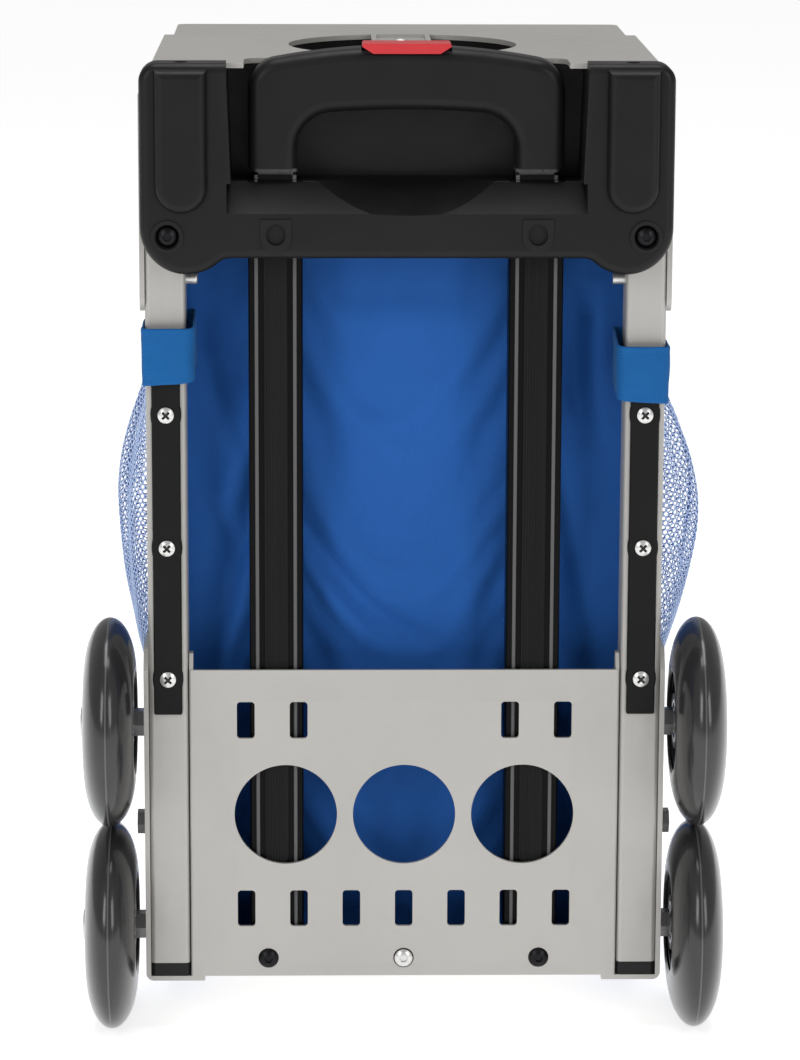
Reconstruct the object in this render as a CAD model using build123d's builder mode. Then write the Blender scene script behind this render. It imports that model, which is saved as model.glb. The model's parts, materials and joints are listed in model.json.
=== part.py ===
from build123d import *

import os

# Wheeled seat-frame bag. +Z up, +Y to the bag's front, +X right when seen from the handle side.
# The origin is the middle of the footprint, on the ground. All sizes are in millimetres.

# ---- driving dimensions ----
REAR_Y = -97.0            # rear face of the rear posts
NOSE_Y = 129.0            # front edge of the seat
SHEET = 2.5               # frame plate thickness
FRAME_HALF = 131.5        # outside of the side plates
SEAT_TOP = 495.0
SEAT_HALF = 124.0         # flat part of the seat, half width
SEAT_BEVEL_Z = 479.5      # foot of the sloping band along each side of the seat
SEAT_STEP_Y = 62.0        # where the seat narrows
NOSE_HALF = 119.0
SKIRT_BOTTOM = 372.0      # lower end of the seat's side skirts
NOSE_SKIRT = 40.0         # height of the seat's front skirt
NOSE_R = 5.0              # bend radius of the seat's front corners

FOOT_Z = 26.5             # underside of the lower side plates
POST_W = 20.0
POST_D = 24.0
POST_WALL = 1.5
POST_R = 2.6
CAP_H = 7.0               # end caps of the rear posts
WHEEL_R = 53.2
WHEEL_HALF = 12.8
WHEEL_X = 149.0
AXLE_LIFT = 107.0         # from the lower axle to the upper one
AXLE_R = 4.0

PANEL_HALF = 108.5        # rear panel of the base tray
PANEL_TOP = 190.0
TRAY_SHEET = 2.0

TUBE_X = 64.5
TUBE_Y = -84.0
TUBE_W = 27.0
TUBE_D = 20.0
TUBE_BOTTOM = 32.0
TUBE_TOP = 437.0
MIDDLE_W = 22.0
MIDDLE_D = 15.0
INNER_W = 18.4
INNER_D = 11.4
SLIDE_GAP = 0.3           # running gap between one tube and the next

HOUSING_HALF = 130.5
HOUSING_TOP = 496.3
HOUSING_EDGE = 401.0      # lower edge of the housing between its lobes
LOBE_R = 23.0
HOUSING_REAR = -115.0
RECESS_HALF = 89.0
RECESS_FLOOR = 437.0
RECESS_WALL = -71.0       # inner face of the wall behind the grip

GRIP_HALF = 77.8
GRIP_LEG_W = 24.0
GRIP_D = 25.0
GRIP_BOTTOM = 443.0
GRIP_TOP = 502.6
GRIP_UNDERSIDE = 471.8    # top of the hand opening
GRIP_CORNER_R = 16.0
GRIP_ARCH = 8.6           # how far the grip's top drops from its middle to its sides
OPENING_ARCH = 3.0        # the same for the hand opening
OPENING_CORNER_R = 18.0

BUTTON_HALF = 21.8
BUTTON_TOP = 504.6
BUTTON_TRAVEL = 2.5
BUTTON_D = 18.4

BAG_BACK_Y = -67.0
BAG_SIDE_X = 126.0
BAG_NOSE_X = 94.5
BAG_FRONT_Y = 122.0
BAG_FLOOR_Z = 33.0
BAG_TOP_Z = 452.0
BAG_BEND_Y = 60.0         # where the bag's sides start to turn in
CLOTH = 2.0
FLAP_HALF = 78.0
FLAP_BOTTOM = 64.0
FLAP_TOP = 430.0
FLAP_POCKET_D = 11.2

# ---- values that follow from them ----
POST_X = FRAME_HALF - SHEET - POST_W / 2
REAR_POST_Y = REAR_Y + POST_D / 2
FRONT_POST_X = NOSE_HALF - SHEET - POST_W / 2
FRONT_POST_Y = NOSE_Y - SHEET - POST_D / 2
LIP_TOP = FOOT_Z + SHEET
SEAT_UNDER = SEAT_TOP - SHEET
WELL_Y = REAR_Y + 105.0
WELL_R = 58.5
RIVET_Y = WELL_Y + 42.0
BAR_HALF = 14.1           # carry bar in the seat well: a plate between two upright edges
BAR_EDGE = 2.6
BAR_TOP = SEAT_TOP - 1.8
GRIP_FRONT = TUBE_Y + GRIP_D / 2
BUTTON_FRONT = TUBE_Y - GRIP_D / 2 - 1.4 + BUTTON_D
SIDES = {"left": -1, "right": 1}
AXLES = {"lower": WHEEL_R, "upper": WHEEL_R + AXLE_LIFT}

os.makedirs("parts", exist_ok=True)


def save(piece, name):
    """Label a finished piece and write it as one STEP file."""
    piece.part.label = name
    export_step(piece.part, f"parts/{name}.step")


def rear_plane(y):
    """A plane that faces the handle side at this Y, with X right and Z up."""
    return Plane.XZ.offset(-y)


def dome_point(height, radius):
    """Height and radius of a point half way out on a shallow dome."""
    sphere = (radius**2 + height**2) / (2 * height)
    return height - sphere + (sphere**2 - radius**2 / 4) ** 0.5, radius / 2


# ---- seat ----
def seat_section(half, foot, inner):
    """Outline of one bent seat side, seen from the rear: flat top, sloping band, upright skirt."""
    t = SHEET if inner else 0.0
    return [
        (0, SEAT_TOP - t),
        (half - 0.45 * t, SEAT_TOP - t),
        (FRAME_HALF - t, SEAT_BEVEL_Z - 0.3 * t),
        (FRAME_HALF - t, foot),
    ]


with BuildPart() as seat_shell:
    with BuildSketch(rear_plane(SEAT_STEP_Y)):
        outer = seat_section(SEAT_HALF, SKIRT_BOTTOM, False)
        inner = seat_section(SEAT_HALF, SKIRT_BOTTOM, True)
        with BuildLine():
            Polyline(*outer, *reversed(inner), close=True)
        make_face()
        mirror(about=Plane.YZ)
    extrude(amount=SEAT_STEP_Y - REAR_Y)
    low_corners = seat_shell.edges().filter_by(Axis.X).filter_by(lambda e: e.center().Z < SKIRT_BOTTOM + 1)
    fillet(low_corners, 7.0)
    with BuildSketch(Plane.XY.offset(SEAT_UNDER)) as nose_plate:
        with Locations((0, (SEAT_STEP_Y + NOSE_Y) / 2)):
            Rectangle(2 * NOSE_HALF, NOSE_Y - SEAT_STEP_Y)
        fillet(nose_plate.vertices().group_by(Axis.Y)[-1], NOSE_R)
    extrude(amount=SHEET)
    with BuildSketch(Plane.XY.offset(SEAT_TOP - NOSE_SKIRT)) as nose_skirt:
        with Locations((0, (SEAT_STEP_Y + 6 + NOSE_Y) / 2)):
            Rectangle(2 * NOSE_HALF, NOSE_Y - SEAT_STEP_Y - 6)
        fillet(nose_skirt.vertices().group_by(Axis.Y)[-1], NOSE_R)
        with Locations((0, SEAT_STEP_Y)):
            RectangleRounded(
                2 * (NOSE_HALF - SHEET),
                2 * (NOSE_Y - SHEET - SEAT_STEP_Y),
                NOSE_R - SHEET,
                mode=Mode.SUBTRACT,
            )
    extrude(amount=NOSE_SKIRT - SHEET)
    with BuildSketch(Plane.XY.offset(SEAT_UNDER - 1)):
        with Locations((0, WELL_Y)):
            Circle(WELL_R)
    extrude(amount=SHEET + 2, mode=Mode.SUBTRACT)
    with BuildSketch(Plane.XY.offset(SEAT_UNDER - 1)):
        notch_depth = RECESS_WALL + 1 - REAR_Y
        with Locations((0, REAR_Y + notch_depth / 2 - 1)):
            RectangleRounded(2 * (GRIP_HALF + 2), notch_depth + 2, 8)
        with Locations((0, REAR_Y)):
            Rectangle(2 * (GRIP_HALF + 2), 18)
    extrude(amount=SHEET + 2, mode=Mode.SUBTRACT)
    with BuildSketch(Plane.XY.offset(BAR_TOP - SHEET)):
        with Locations((0, WELL_Y)):
            Circle(WELL_R + 0.8)
            Rectangle(2 * BAR_HALF, 2 * WELL_R + 2, mode=Mode.INTERSECT)
    extrude(amount=SHEET)
    with BuildSketch(Plane.XY.offset(SEAT_UNDER - 6)):
        with Locations((-BAR_HALF, WELL_Y), (BAR_HALF, WELL_Y)):
            Rectangle(BAR_EDGE, 2 * WELL_R + 2)
        with Locations((0, WELL_Y)):
            Circle(WELL_R + 0.8, mode=Mode.INTERSECT)
    extrude(amount=6 + SHEET)
save(seat_shell, "seat_shell")

with BuildPart() as seat_well:
    with BuildSketch(Plane.XY.offset(SEAT_UNDER - 24)):
        with Locations((0, WELL_Y)):
            Circle(WELL_R + 3.5)
    extrude(amount=24)
    with BuildSketch(Plane.XY.offset(SEAT_UNDER - 21.5)):
        with Locations((0, WELL_Y)):
            Circle(WELL_R + 1.0)
    extrude(amount=22, mode=Mode.SUBTRACT)
    fillet(seat_well.edges().group_by(Axis.Z)[0], 2.0)
save(seat_well, "seat_well")

with BuildPart() as seat_rivet:
    with BuildSketch(rear_plane(RIVET_Y)):
        with BuildLine():
            Polyline((4.4, BAR_TOP), (0, BAR_TOP), (0, BAR_TOP + 1.6))
            rise, out = dome_point(1.6, 4.4)
            ThreePointArc((0, BAR_TOP + 1.6), (out, BAR_TOP + rise), (4.4, BAR_TOP))
        make_face()
    revolve(axis=Axis((0, RIVET_Y, 0), (0, 0, 1)))
save(seat_rivet, "seat_rivet")


# ---- posts ----
def post(x, y, bottom, top):
    """Upright rectangular tube, open at the foot and closed at the top."""
    with BuildPart() as tube:
        with BuildSketch(Plane.XY.offset(bottom)):
            with Locations((x, y)):
                RectangleRounded(POST_W, POST_D, POST_R)
        extrude(amount=top - bottom)
        with BuildSketch(Plane.XY.offset(bottom)):
            with Locations((x, y)):
                RectangleRounded(POST_W - 2 * POST_WALL, POST_D - 2 * POST_WALL, 0.6)
        extrude(amount=top - bottom - POST_WALL, mode=Mode.SUBTRACT)
    return tube


BOLT_Z = (AXLES["lower"] + AXLES["upper"]) / 2 + 1.2
STUD_Z = 387.5
STRIP_SCREWS = (186.0, 253.5, 321.0)
HOUSING_SCREW = (117.0, 412.0)

for side, sign in SIDES.items():
    rear_post = post(sign * POST_X, REAR_POST_Y, LIP_TOP + CAP_H, SEAT_BEVEL_Z - 1)
    with BuildPart() as drilled:
        add(rear_post.part)
        cross_plane = Plane(origin=(0, REAR_POST_Y, 0), x_dir=(0, 1, 0), z_dir=(1, 0, 0))
        with BuildSketch(cross_plane):
            with Locations(*((0, z) for z in AXLES.values())):
                Circle(AXLE_R)
            with Locations((0, BOLT_Z), (0, STUD_Z)):
                Circle(3.0)
        extrude(amount=sign * 140, mode=Mode.SUBTRACT)
        with BuildSketch(rear_plane(REAR_Y + 4)):
            with Locations(*((sign * POST_X, z) for z in STRIP_SCREWS)):
                Circle(2.0)
            with Locations((sign * HOUSING_SCREW[0], HOUSING_SCREW[1])):
                Circle(2.0)
        extrude(amount=6, mode=Mode.SUBTRACT)
    save(drilled, f"rear_post_{side}")
    front_post = post(sign * FRONT_POST_X, FRONT_POST_Y, LIP_TOP + TRAY_SHEET, SEAT_UNDER)
    save(front_post, f"front_post_{side}")

with BuildPart() as post_caps:
    with BuildSketch(Plane.XY.offset(LIP_TOP)):
        with Locations((-POST_X, REAR_POST_Y), (POST_X, REAR_POST_Y)):
            RectangleRounded(POST_W, POST_D, POST_R)
    extrude(amount=CAP_H)
save(post_caps, "post_caps")


# ---- lower side plates ----
PLATE_TOP = 200.0
PLATE_FRONT = -44.0

for side, sign in SIDES.items():
    with BuildPart() as bracket:
        with BuildSketch(Plane.YZ.offset(sign * (FRAME_HALF - SHEET))):
            with BuildLine():
                Polyline(
                    (REAR_Y, LIP_TOP),
                    (PLATE_FRONT, LIP_TOP),
                    (PLATE_FRONT, 184),
                    (PLATE_FRONT - 12, PLATE_TOP),
                    (REAR_Y + 6, PLATE_TOP),
                    (REAR_Y, PLATE_TOP - 10),
                    close=True,
                )
            make_face()
            with Locations(*((REAR_POST_Y, z) for z in AXLES.values())):
                Circle(AXLE_R, mode=Mode.SUBTRACT)
            with Locations((REAR_POST_Y, BOLT_Z)):
                Circle(3.0, mode=Mode.SUBTRACT)
        extrude(amount=sign * SHEET)
        with BuildSketch(Plane.XY.offset(FOOT_Z)):
            with Locations((sign * (FRAME_HALF - 15), (REAR_Y + PLATE_FRONT) / 2)):
                Rectangle(30, PLATE_FRONT - REAR_Y)
        extrude(amount=SHEET)
        bend = bracket.edges().filter_by(Axis.Y).group_by(Axis.Z)[0].sort_by(Axis.X)
        fillet(bend[-1] if sign > 0 else bend[0], 4.0)
    save(bracket, f"side_bracket_{side}")

# ---- base tray: rear panel with its side tabs, then floor and front lip ----
SLOT_W = 9.0
SLOT_H = 19.0
SLOT_PITCH = 26.7
HOLE_R = 26.0
TRAY_FRONT = NOSE_Y - 2.0
TAB_TOP = 198.0
SCREW_X = 69.0
SCREW_Z = 38.5

with BuildPart() as rear_panel:
    with BuildSketch(rear_plane(REAR_Y + TRAY_SHEET)):
        with Locations((0, (LIP_TOP + PANEL_TOP) / 2)):
            Rectangle(2 * PANEL_HALF, PANEL_TOP - LIP_TOP)
        with Locations((-60, 114.6), (0, 114.6), (60, 114.6)):
            Circle(HOLE_R, mode=Mode.SUBTRACT)
        with Locations(*((k * SLOT_PITCH, 65) for k in range(-3, 4))):
            RectangleRounded(SLOT_W, SLOT_H, 1.8, mode=Mode.SUBTRACT)
        with Locations(*((k * SLOT_PITCH, 164) for k in (-3, -2, 2, 3))):
            RectangleRounded(SLOT_W, SLOT_H, 1.8, mode=Mode.SUBTRACT)
        with Locations((-SCREW_X, SCREW_Z), (0, SCREW_Z), (SCREW_X, SCREW_Z)):
            Circle(2.5, mode=Mode.SUBTRACT)
    extrude(amount=TRAY_SHEET)
    for sign in SIDES.values():
        with BuildSketch(Plane.YZ.offset(sign * (PANEL_HALF - TRAY_SHEET))):
            with BuildLine():
                Polyline(
                    (REAR_Y + 1, LIP_TOP),
                    (REAR_Y + 15, LIP_TOP),
                    (REAR_Y + 15, PANEL_TOP - 8),
                    (REAR_Y + 9, TAB_TOP),
                    (REAR_Y + 3.5, TAB_TOP),
                    (REAR_Y + 1, PANEL_TOP),
                    close=True,
                )
            make_face()
        extrude(amount=sign * TRAY_SHEET)
    folds = rear_panel.edges().filter_by(Axis.Z).filter_by(
        lambda e: abs(e.center().Y - REAR_Y) < 0.1 and abs(abs(e.center().X) - PANEL_HALF) < 0.1
    )
    fillet(folds, 1.2)
save(rear_panel, "rear_panel")

with BuildPart() as base_tray:
    with BuildSketch(Plane.XY.offset(LIP_TOP)):
        floor_rear = REAR_Y + TRAY_SHEET
        with Locations((0, (floor_rear + TRAY_FRONT) / 2)):
            Rectangle(2 * (PANEL_HALF - TRAY_SHEET), TRAY_FRONT - floor_rear)
        with Locations((0, FRONT_POST_Y)):
            Rectangle(2 * NOSE_HALF, POST_D + 2)
    extrude(amount=TRAY_SHEET)
    with BuildSketch(rear_plane(TRAY_FRONT)):
        with Locations((0, LIP_TOP + 12)):
            Rectangle(2 * (FRONT_POST_X - POST_W / 2 - 1), 24)
    extrude(amount=TRAY_SHEET)
save(base_tray, "base_tray")


# ---- screws ----
def button_head(x, z, y, radius, height, shank, shank_r):
    """Domed screw with a hexagon socket, pointing into the frame from the handle side."""
    axis_plane = Plane(origin=(x, y, z), x_dir=(0, -1, 0), z_dir=(-1, 0, 0))
    with BuildPart() as screw:
        with BuildSketch(axis_plane):
            with BuildLine():
                Polyline((height, 0), (-shank, 0), (-shank, shank_r), (0, shank_r), (0, radius))
                ThreePointArc((0, radius), dome_point(height, radius), (height, 0))
            make_face()
        revolve(axis=Axis((x, y, z), (0, 1, 0)))
        with BuildSketch(Plane(origin=(x, y - height + 1.5, z), x_dir=(1, 0, 0), z_dir=(0, -1, 0))):
            RegularPolygon(0.42 * radius, 6)
        extrude(amount=3, mode=Mode.SUBTRACT)
    return screw


def save_group(pieces, name):
    """Write several like pieces as separate solids of one node."""
    with BuildPart() as group:
        for piece in pieces:
            add(piece.part)
    save(group, name)


TRAY_SCREW = {"z": SCREW_Z, "y": REAR_Y, "radius": 5.2, "height": 2.4, "shank": 3.0, "shank_r": 2.5}
save_group([button_head(x, **TRAY_SCREW) for x in (-SCREW_X, SCREW_X)], "tray_screws")
save(button_head(0, **TRAY_SCREW), "tray_screw_centre")

# ---- rub strips on the rear posts ----
STRIP_W = 14.2
STRIP_T = 3.0
STRIP_BOTTOM = 167.6
STRIP_TOP = 340.0

with BuildPart() as rub_strips:
    for sign in SIDES.values():
        with BuildSketch(rear_plane(REAR_Y)):
            with Locations((sign * POST_X, (STRIP_BOTTOM + STRIP_TOP) / 2)):
                RectangleRounded(STRIP_W, STRIP_TOP - STRIP_BOTTOM, 1.0)
            with Locations(*((sign * POST_X, z) for z in STRIP_SCREWS)):
                Ellipse(7.7, 11.0)
        extrude(amount=STRIP_T)
    rims = rub_strips.faces().sort_by(Axis.Y)[:2].edges()
    chamfer(rims, 0.6)
    with BuildSketch(rear_plane(REAR_Y - STRIP_T)):
        for sign in SIDES.values():
            with Locations(*((sign * POST_X, z) for z in STRIP_SCREWS)):
                Circle(2.0)
    extrude(amount=-STRIP_T, mode=Mode.SUBTRACT)
save(rub_strips, "rub_strips")

SCREW_SLOT = 4.8
SCREW_ARM = 1.3


def cross_head(x, z, y, radius, height, shank):
    """Pan-head cross-recess screw, pointing into the frame from the handle side."""
    axis_plane = Plane(origin=(x, y, z), x_dir=(0, -1, 0), z_dir=(-1, 0, 0))
    with BuildPart() as screw:
        with BuildSketch(axis_plane):
            with BuildLine():
                rim = 0.35 * height
                Polyline((height, 0), (-shank, 0), (-shank, 2.0), (0, 2.0), (0, radius), (rim, radius))
                rise, out = dome_point(0.65 * height, radius)
                ThreePointArc((rim, radius), (rim + rise, out), (height, 0))
            make_face()
        revolve(axis=Axis((x, y, z), (0, 1, 0)))
        with BuildSketch(Plane(origin=(x, y - height + 1.7, z), x_dir=(1, 0, 0), z_dir=(0, -1, 0))):
            Rectangle(SCREW_SLOT, SCREW_ARM, rotation=45)
            Rectangle(SCREW_ARM, SCREW_SLOT, rotation=45)
        extrude(amount=3, mode=Mode.SUBTRACT)
    return screw


strip_screws = [
    cross_head(sign * POST_X, z, REAR_Y - STRIP_T, 4.0, 2.2, STRIP_T + 6)
    for sign in SIDES.values()
    for z in STRIP_SCREWS
]
save_group(strip_screws, "strip_screws")

# ---- handle housing ----
PAD_X = (HOUSING_HALF + RECESS_HALF) / 2 + 0.4
PAD_BULGE = 5.0
PAD_HALF = 13.9
PAD_BEND_Z = 436.4        # centre of the pad's round lower end
SCOOP_R = 170.0           # shallow cone that hollows the lip in front of the grip
SCOOP_FRONT = -80.0
SCOOP_TAPER = -22.5
SHIELD_X = 64.0
SHIELD_Z = 412.5
LIP_FOOT = 423.5


def housing_pad(x):
    """Rounded upright pad that bulges from the housing's face."""
    with BuildPart() as pad:
        with BuildSketch(rear_plane(HOUSING_REAR + 3)):
            with BuildLine():
                Polyline(
                    (x + PAD_HALF, PAD_BEND_Z),
                    (x + PAD_HALF, HOUSING_TOP - 2),
                    (x - PAD_HALF, HOUSING_TOP - 2),
                    (x - PAD_HALF, PAD_BEND_Z),
                )
                pad_foot = (x, PAD_BEND_Z - PAD_HALF)
                ThreePointArc((x - PAD_HALF, PAD_BEND_Z), pad_foot, (x + PAD_HALF, PAD_BEND_Z))
            make_face()
        extrude(amount=PAD_BULGE + 3, taper=16)
        fillet(pad.faces().sort_by(Axis.Y)[0].edges(), 4.0)
    return pad


housing_pads = [housing_pad(sign * PAD_X) for sign in SIDES.values()]

with BuildPart() as scoop:
    with BuildSketch(rear_plane(SCOOP_FRONT)):
        with Locations((0, RECESS_FLOOR + SCOOP_R)):
            Circle(SCOOP_R)
    extrude(amount=SCOOP_FRONT - HOUSING_REAR + 6, taper=SCOOP_TAPER)
    with Locations((0, HOUSING_REAR, RECESS_FLOOR - 29.5)):
        Box(120, 100, 60, mode=Mode.INTERSECT)

with BuildPart() as handle_housing:
    with BuildSketch(rear_plane(REAR_Y)) as housing_outline:
        with Locations((0, (HOUSING_EDGE + 15 + HOUSING_TOP) / 2)):
            Rectangle(2 * HOUSING_HALF, HOUSING_TOP - HOUSING_EDGE - 15)
        with Locations((0, HOUSING_EDGE + 8)):
            Rectangle(2 * (HOUSING_HALF - LOBE_R), 16)
        lobe_x = HOUSING_HALF - LOBE_R
        with Locations((-lobe_x, HOUSING_EDGE + 15), (lobe_x, HOUSING_EDGE + 15)):
            Circle(LOBE_R)
        waist = housing_outline.vertices().filter_by(
            lambda v: abs(v.Y - HOUSING_EDGE) < 0.1 and abs(abs(v.X) - 90) < 3
        )
        fillet(waist, 9.0)
        top_corners = housing_outline.vertices().group_by(Axis.Y)[-1]
        fillet(top_corners, 9.0)
    extrude(amount=REAR_Y - HOUSING_REAR)
    rear_rim = handle_housing.faces().sort_by(Axis.Y)[0].edges()
    fillet(rear_rim, 4.5)
    for pad in housing_pads:
        add(pad.part)
    with BuildSketch(Plane.XY.offset(HOUSING_EDGE + 0.5)):
        with Locations((0, (REAR_Y - 6 + RECESS_WALL + SHEET) / 2)):
            Rectangle(2 * (RECESS_HALF + 3), RECESS_WALL + SHEET - REAR_Y + 6)
    extrude(amount=SEAT_UNDER - HOUSING_EDGE - 0.5)
    with BuildSketch(rear_plane(RECESS_WALL)):
        with BuildLine():
            Polyline(
                (-RECESS_HALF + 3, RECESS_FLOOR),
                (RECESS_HALF - 3, RECESS_FLOOR),
                (RECESS_HALF, HOUSING_TOP + 20),
                (-RECESS_HALF, HOUSING_TOP + 20),
                close=True,
            )
        make_face()
    extrude(amount=RECESS_WALL - HOUSING_REAR + 12, mode=Mode.SUBTRACT)
    with BuildSketch(Plane.YZ.offset(-RECESS_HALF + 1)):
        with BuildLine():
            Polyline(
                (HOUSING_REAR - 1, LIP_FOOT - 0.8),
                (HOUSING_REAR - 1, RECESS_FLOOR + 1),
                (REAR_Y + 3, RECESS_FLOOR + 1),
                (REAR_Y + 3, RECESS_FLOOR - 0.5),
                close=True,
            )
        make_face()
    extrude(amount=2 * RECESS_HALF - 2, mode=Mode.SUBTRACT)
    add(scoop.part, mode=Mode.SUBTRACT)
    with BuildSketch(Plane.XY.offset(HOUSING_EDGE - 1)):
        with Locations((-TUBE_X, TUBE_Y), (TUBE_X, TUBE_Y)):
            Rectangle(TUBE_W, TUBE_D)
    extrude(amount=RECESS_FLOOR - HOUSING_EDGE + 4, mode=Mode.SUBTRACT)
    for sign in SIDES.values():
        with BuildSketch(rear_plane(HOUSING_REAR)):
            with Locations((sign * HOUSING_SCREW[0], HOUSING_SCREW[1])):
                Circle(8.0)
            with BuildLine():
                x = sign * SHIELD_X
                Polyline(
                    (x - 7.5, SHIELD_Z - 1),
                    (x - 7.5, SHIELD_Z + 8),
                    (x + 7.5, SHIELD_Z + 8),
                    (x + 7.5, SHIELD_Z - 1),
                )
                ThreePointArc((x + 7.5, SHIELD_Z - 1), (x, SHIELD_Z - 8.5), (x - 7.5, SHIELD_Z - 1))
            make_face()
        extrude(amount=0.9)
        with BuildSketch(rear_plane(HOUSING_REAR - 0.9)):
            with Locations((sign * HOUSING_SCREW[0], HOUSING_SCREW[1])):
                Circle(6.2)
            with Locations((sign * SHIELD_X, SHIELD_Z + 0.6)):
                SlotOverall(10.5, 9.4, rotation=90)
        extrude(amount=-2.4, mode=Mode.SUBTRACT)
        with BuildSketch(rear_plane(HOUSING_REAR)):
            with Locations((sign * HOUSING_SCREW[0], HOUSING_SCREW[1])):
                Circle(2.0)
        extrude(amount=-25, mode=Mode.SUBTRACT)
    with BuildSketch(Plane.XY.offset(HOUSING_TOP)):
        with Locations((-110, REAR_Y - 8.5), (110, REAR_Y - 8.5)):
            Circle(3.4)
    extrude(amount=-5, mode=Mode.SUBTRACT)
save(handle_housing, "handle_housing")

housing_screws = [
    button_head(sign * HOUSING_SCREW[0], HOUSING_SCREW[1], HOUSING_REAR + 1.5, 5.6, 2.6, 22, 2.0)
    for sign in SIDES.values()
]
save_group(housing_screws, "housing_screws")

STUD_OUT = 6.0

with BuildPart() as housing_studs:
    for sign in SIDES.values():
        with BuildSketch(Plane.YZ.offset(sign * (POST_X - POST_W / 2 - STUD_OUT))):
            with Locations((REAR_POST_Y, STUD_Z)):
                Circle(3.0)
        extrude(amount=sign * (POST_W + STUD_OUT))
        end = housing_studs.faces().sort_by(Axis.X)[-1 if sign < 0 else 0]
        fillet(end.edges(), 1.4)
save(housing_studs, "housing_studs")


# ---- telescoping handle ----
STRIP_LAND = 11.6
LAND_BOTTOM = 87.0
CHANNEL_W = 17.0          # channel for the ribbed strip
TUBE_STEP_W = 3.0         # outer edges step back and leave a narrow ridge each side of the channel
TUBE_STEP_D = 0.8

with BuildPart() as outer_tubes:
    with BuildSketch(Plane.XY.offset(TUBE_BOTTOM)) as tube_section:
        with Locations((-TUBE_X, TUBE_Y), (TUBE_X, TUBE_Y)):
            RectangleRounded(TUBE_W, TUBE_D, 2.6)
            Rectangle(MIDDLE_W + 2 * SLIDE_GAP, MIDDLE_D + 2 * SLIDE_GAP, mode=Mode.SUBTRACT)
        tube_rear = TUBE_Y - TUBE_D / 2
        with Locations((-TUBE_X, tube_rear + 0.6), (TUBE_X, tube_rear + 0.6)):
            Rectangle(CHANNEL_W, 1.2, mode=Mode.SUBTRACT)
        step_x = (TUBE_W - TUBE_STEP_W) / 2
        step_y = tube_rear + TUBE_STEP_D / 2
        with Locations(*((s * TUBE_X + e * step_x, step_y) for s in (-1, 1) for e in (-1, 1))):
            Rectangle(TUBE_STEP_W, TUBE_STEP_D, mode=Mode.SUBTRACT)
        ridge_corners = tube_section.vertices().filter_by(lambda v: abs(v.Y - tube_rear) < 0.01)
        fillet(ridge_corners, 0.75)
    extrude(amount=TUBE_TOP - TUBE_BOTTOM)
save(outer_tubes, "outer_tubes")

RIB_COUNT = 9
RIB_PITCH = STRIP_LAND / RIB_COUNT

with BuildPart() as tube_strips:
    for sign in SIDES.values():
        x0 = sign * TUBE_X - STRIP_LAND / 2
        base = TUBE_Y - TUBE_D / 2 + 1.2
        with BuildSketch(Plane.XY.offset(LAND_BOTTOM)):
            with BuildLine():
                teeth = []
                for k in range(RIB_COUNT):
                    teeth.append((x0 + k * RIB_PITCH, base - 0.9))
                    teeth.append((x0 + (k + 0.5) * RIB_PITCH, base - 1.2))
                teeth.append((x0 + STRIP_LAND, base - 0.9))
                Polyline(*teeth, (x0 + STRIP_LAND, base), (x0, base), close=True)
            make_face()
        extrude(amount=HOUSING_EDGE + 1 - LAND_BOTTOM)
    foot_edges = tube_strips.edges().filter_by(Axis.Y).group_by(Axis.Z)[0]
    fillet(foot_edges, STRIP_LAND / 2 - 0.4)
save(tube_strips, "tube_strips")

with BuildPart() as tube_shoes:
    with BuildSketch(Plane.XY.offset(LIP_TOP + TRAY_SHEET)):
        with Locations((-TUBE_X, TUBE_Y), (TUBE_X, TUBE_Y)):
            Rectangle(TUBE_W - 1, TUBE_D - 1)
    extrude(amount=TUBE_BOTTOM - LIP_TOP - TRAY_SHEET)
save(tube_shoes, "tube_shoes")

MIDDLE_BOTTOM = 60.0
INNER_BOTTOM = 90.0

with BuildPart() as middle_tubes:
    with BuildSketch(Plane.XY.offset(MIDDLE_BOTTOM)):
        with Locations((-TUBE_X, TUBE_Y), (TUBE_X, TUBE_Y)):
            RectangleRounded(MIDDLE_W, MIDDLE_D, 1.6)
            Rectangle(INNER_W + 2 * SLIDE_GAP, INNER_D + 2 * SLIDE_GAP, mode=Mode.SUBTRACT)
    extrude(amount=TUBE_TOP + 2.5 - MIDDLE_BOTTOM)
save(middle_tubes, "middle_tubes")

with BuildPart() as inner_tubes:
    with BuildSketch(Plane.XY.offset(INNER_BOTTOM)):
        with Locations((-TUBE_X, TUBE_Y), (TUBE_X, TUBE_Y)):
            RectangleRounded(INNER_W, INNER_D, 1.2)
            Rectangle(INNER_W - 3.0, INNER_D - 3.0, mode=Mode.SUBTRACT)
    extrude(amount=GRIP_BOTTOM - INNER_BOTTOM)
save(inner_tubes, "inner_tubes")

# ---- grip ----
BORE_HALF = 15.0


def arched_door(half, foot, crown, drop):
    """Upright sides and an arched top, as the lines of one closed outline."""
    Polyline((half, crown - drop), (half, foot), (-half, foot), (-half, crown - drop))
    ThreePointArc((-half, crown - drop), (0, crown), (half, crown - drop))


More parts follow.
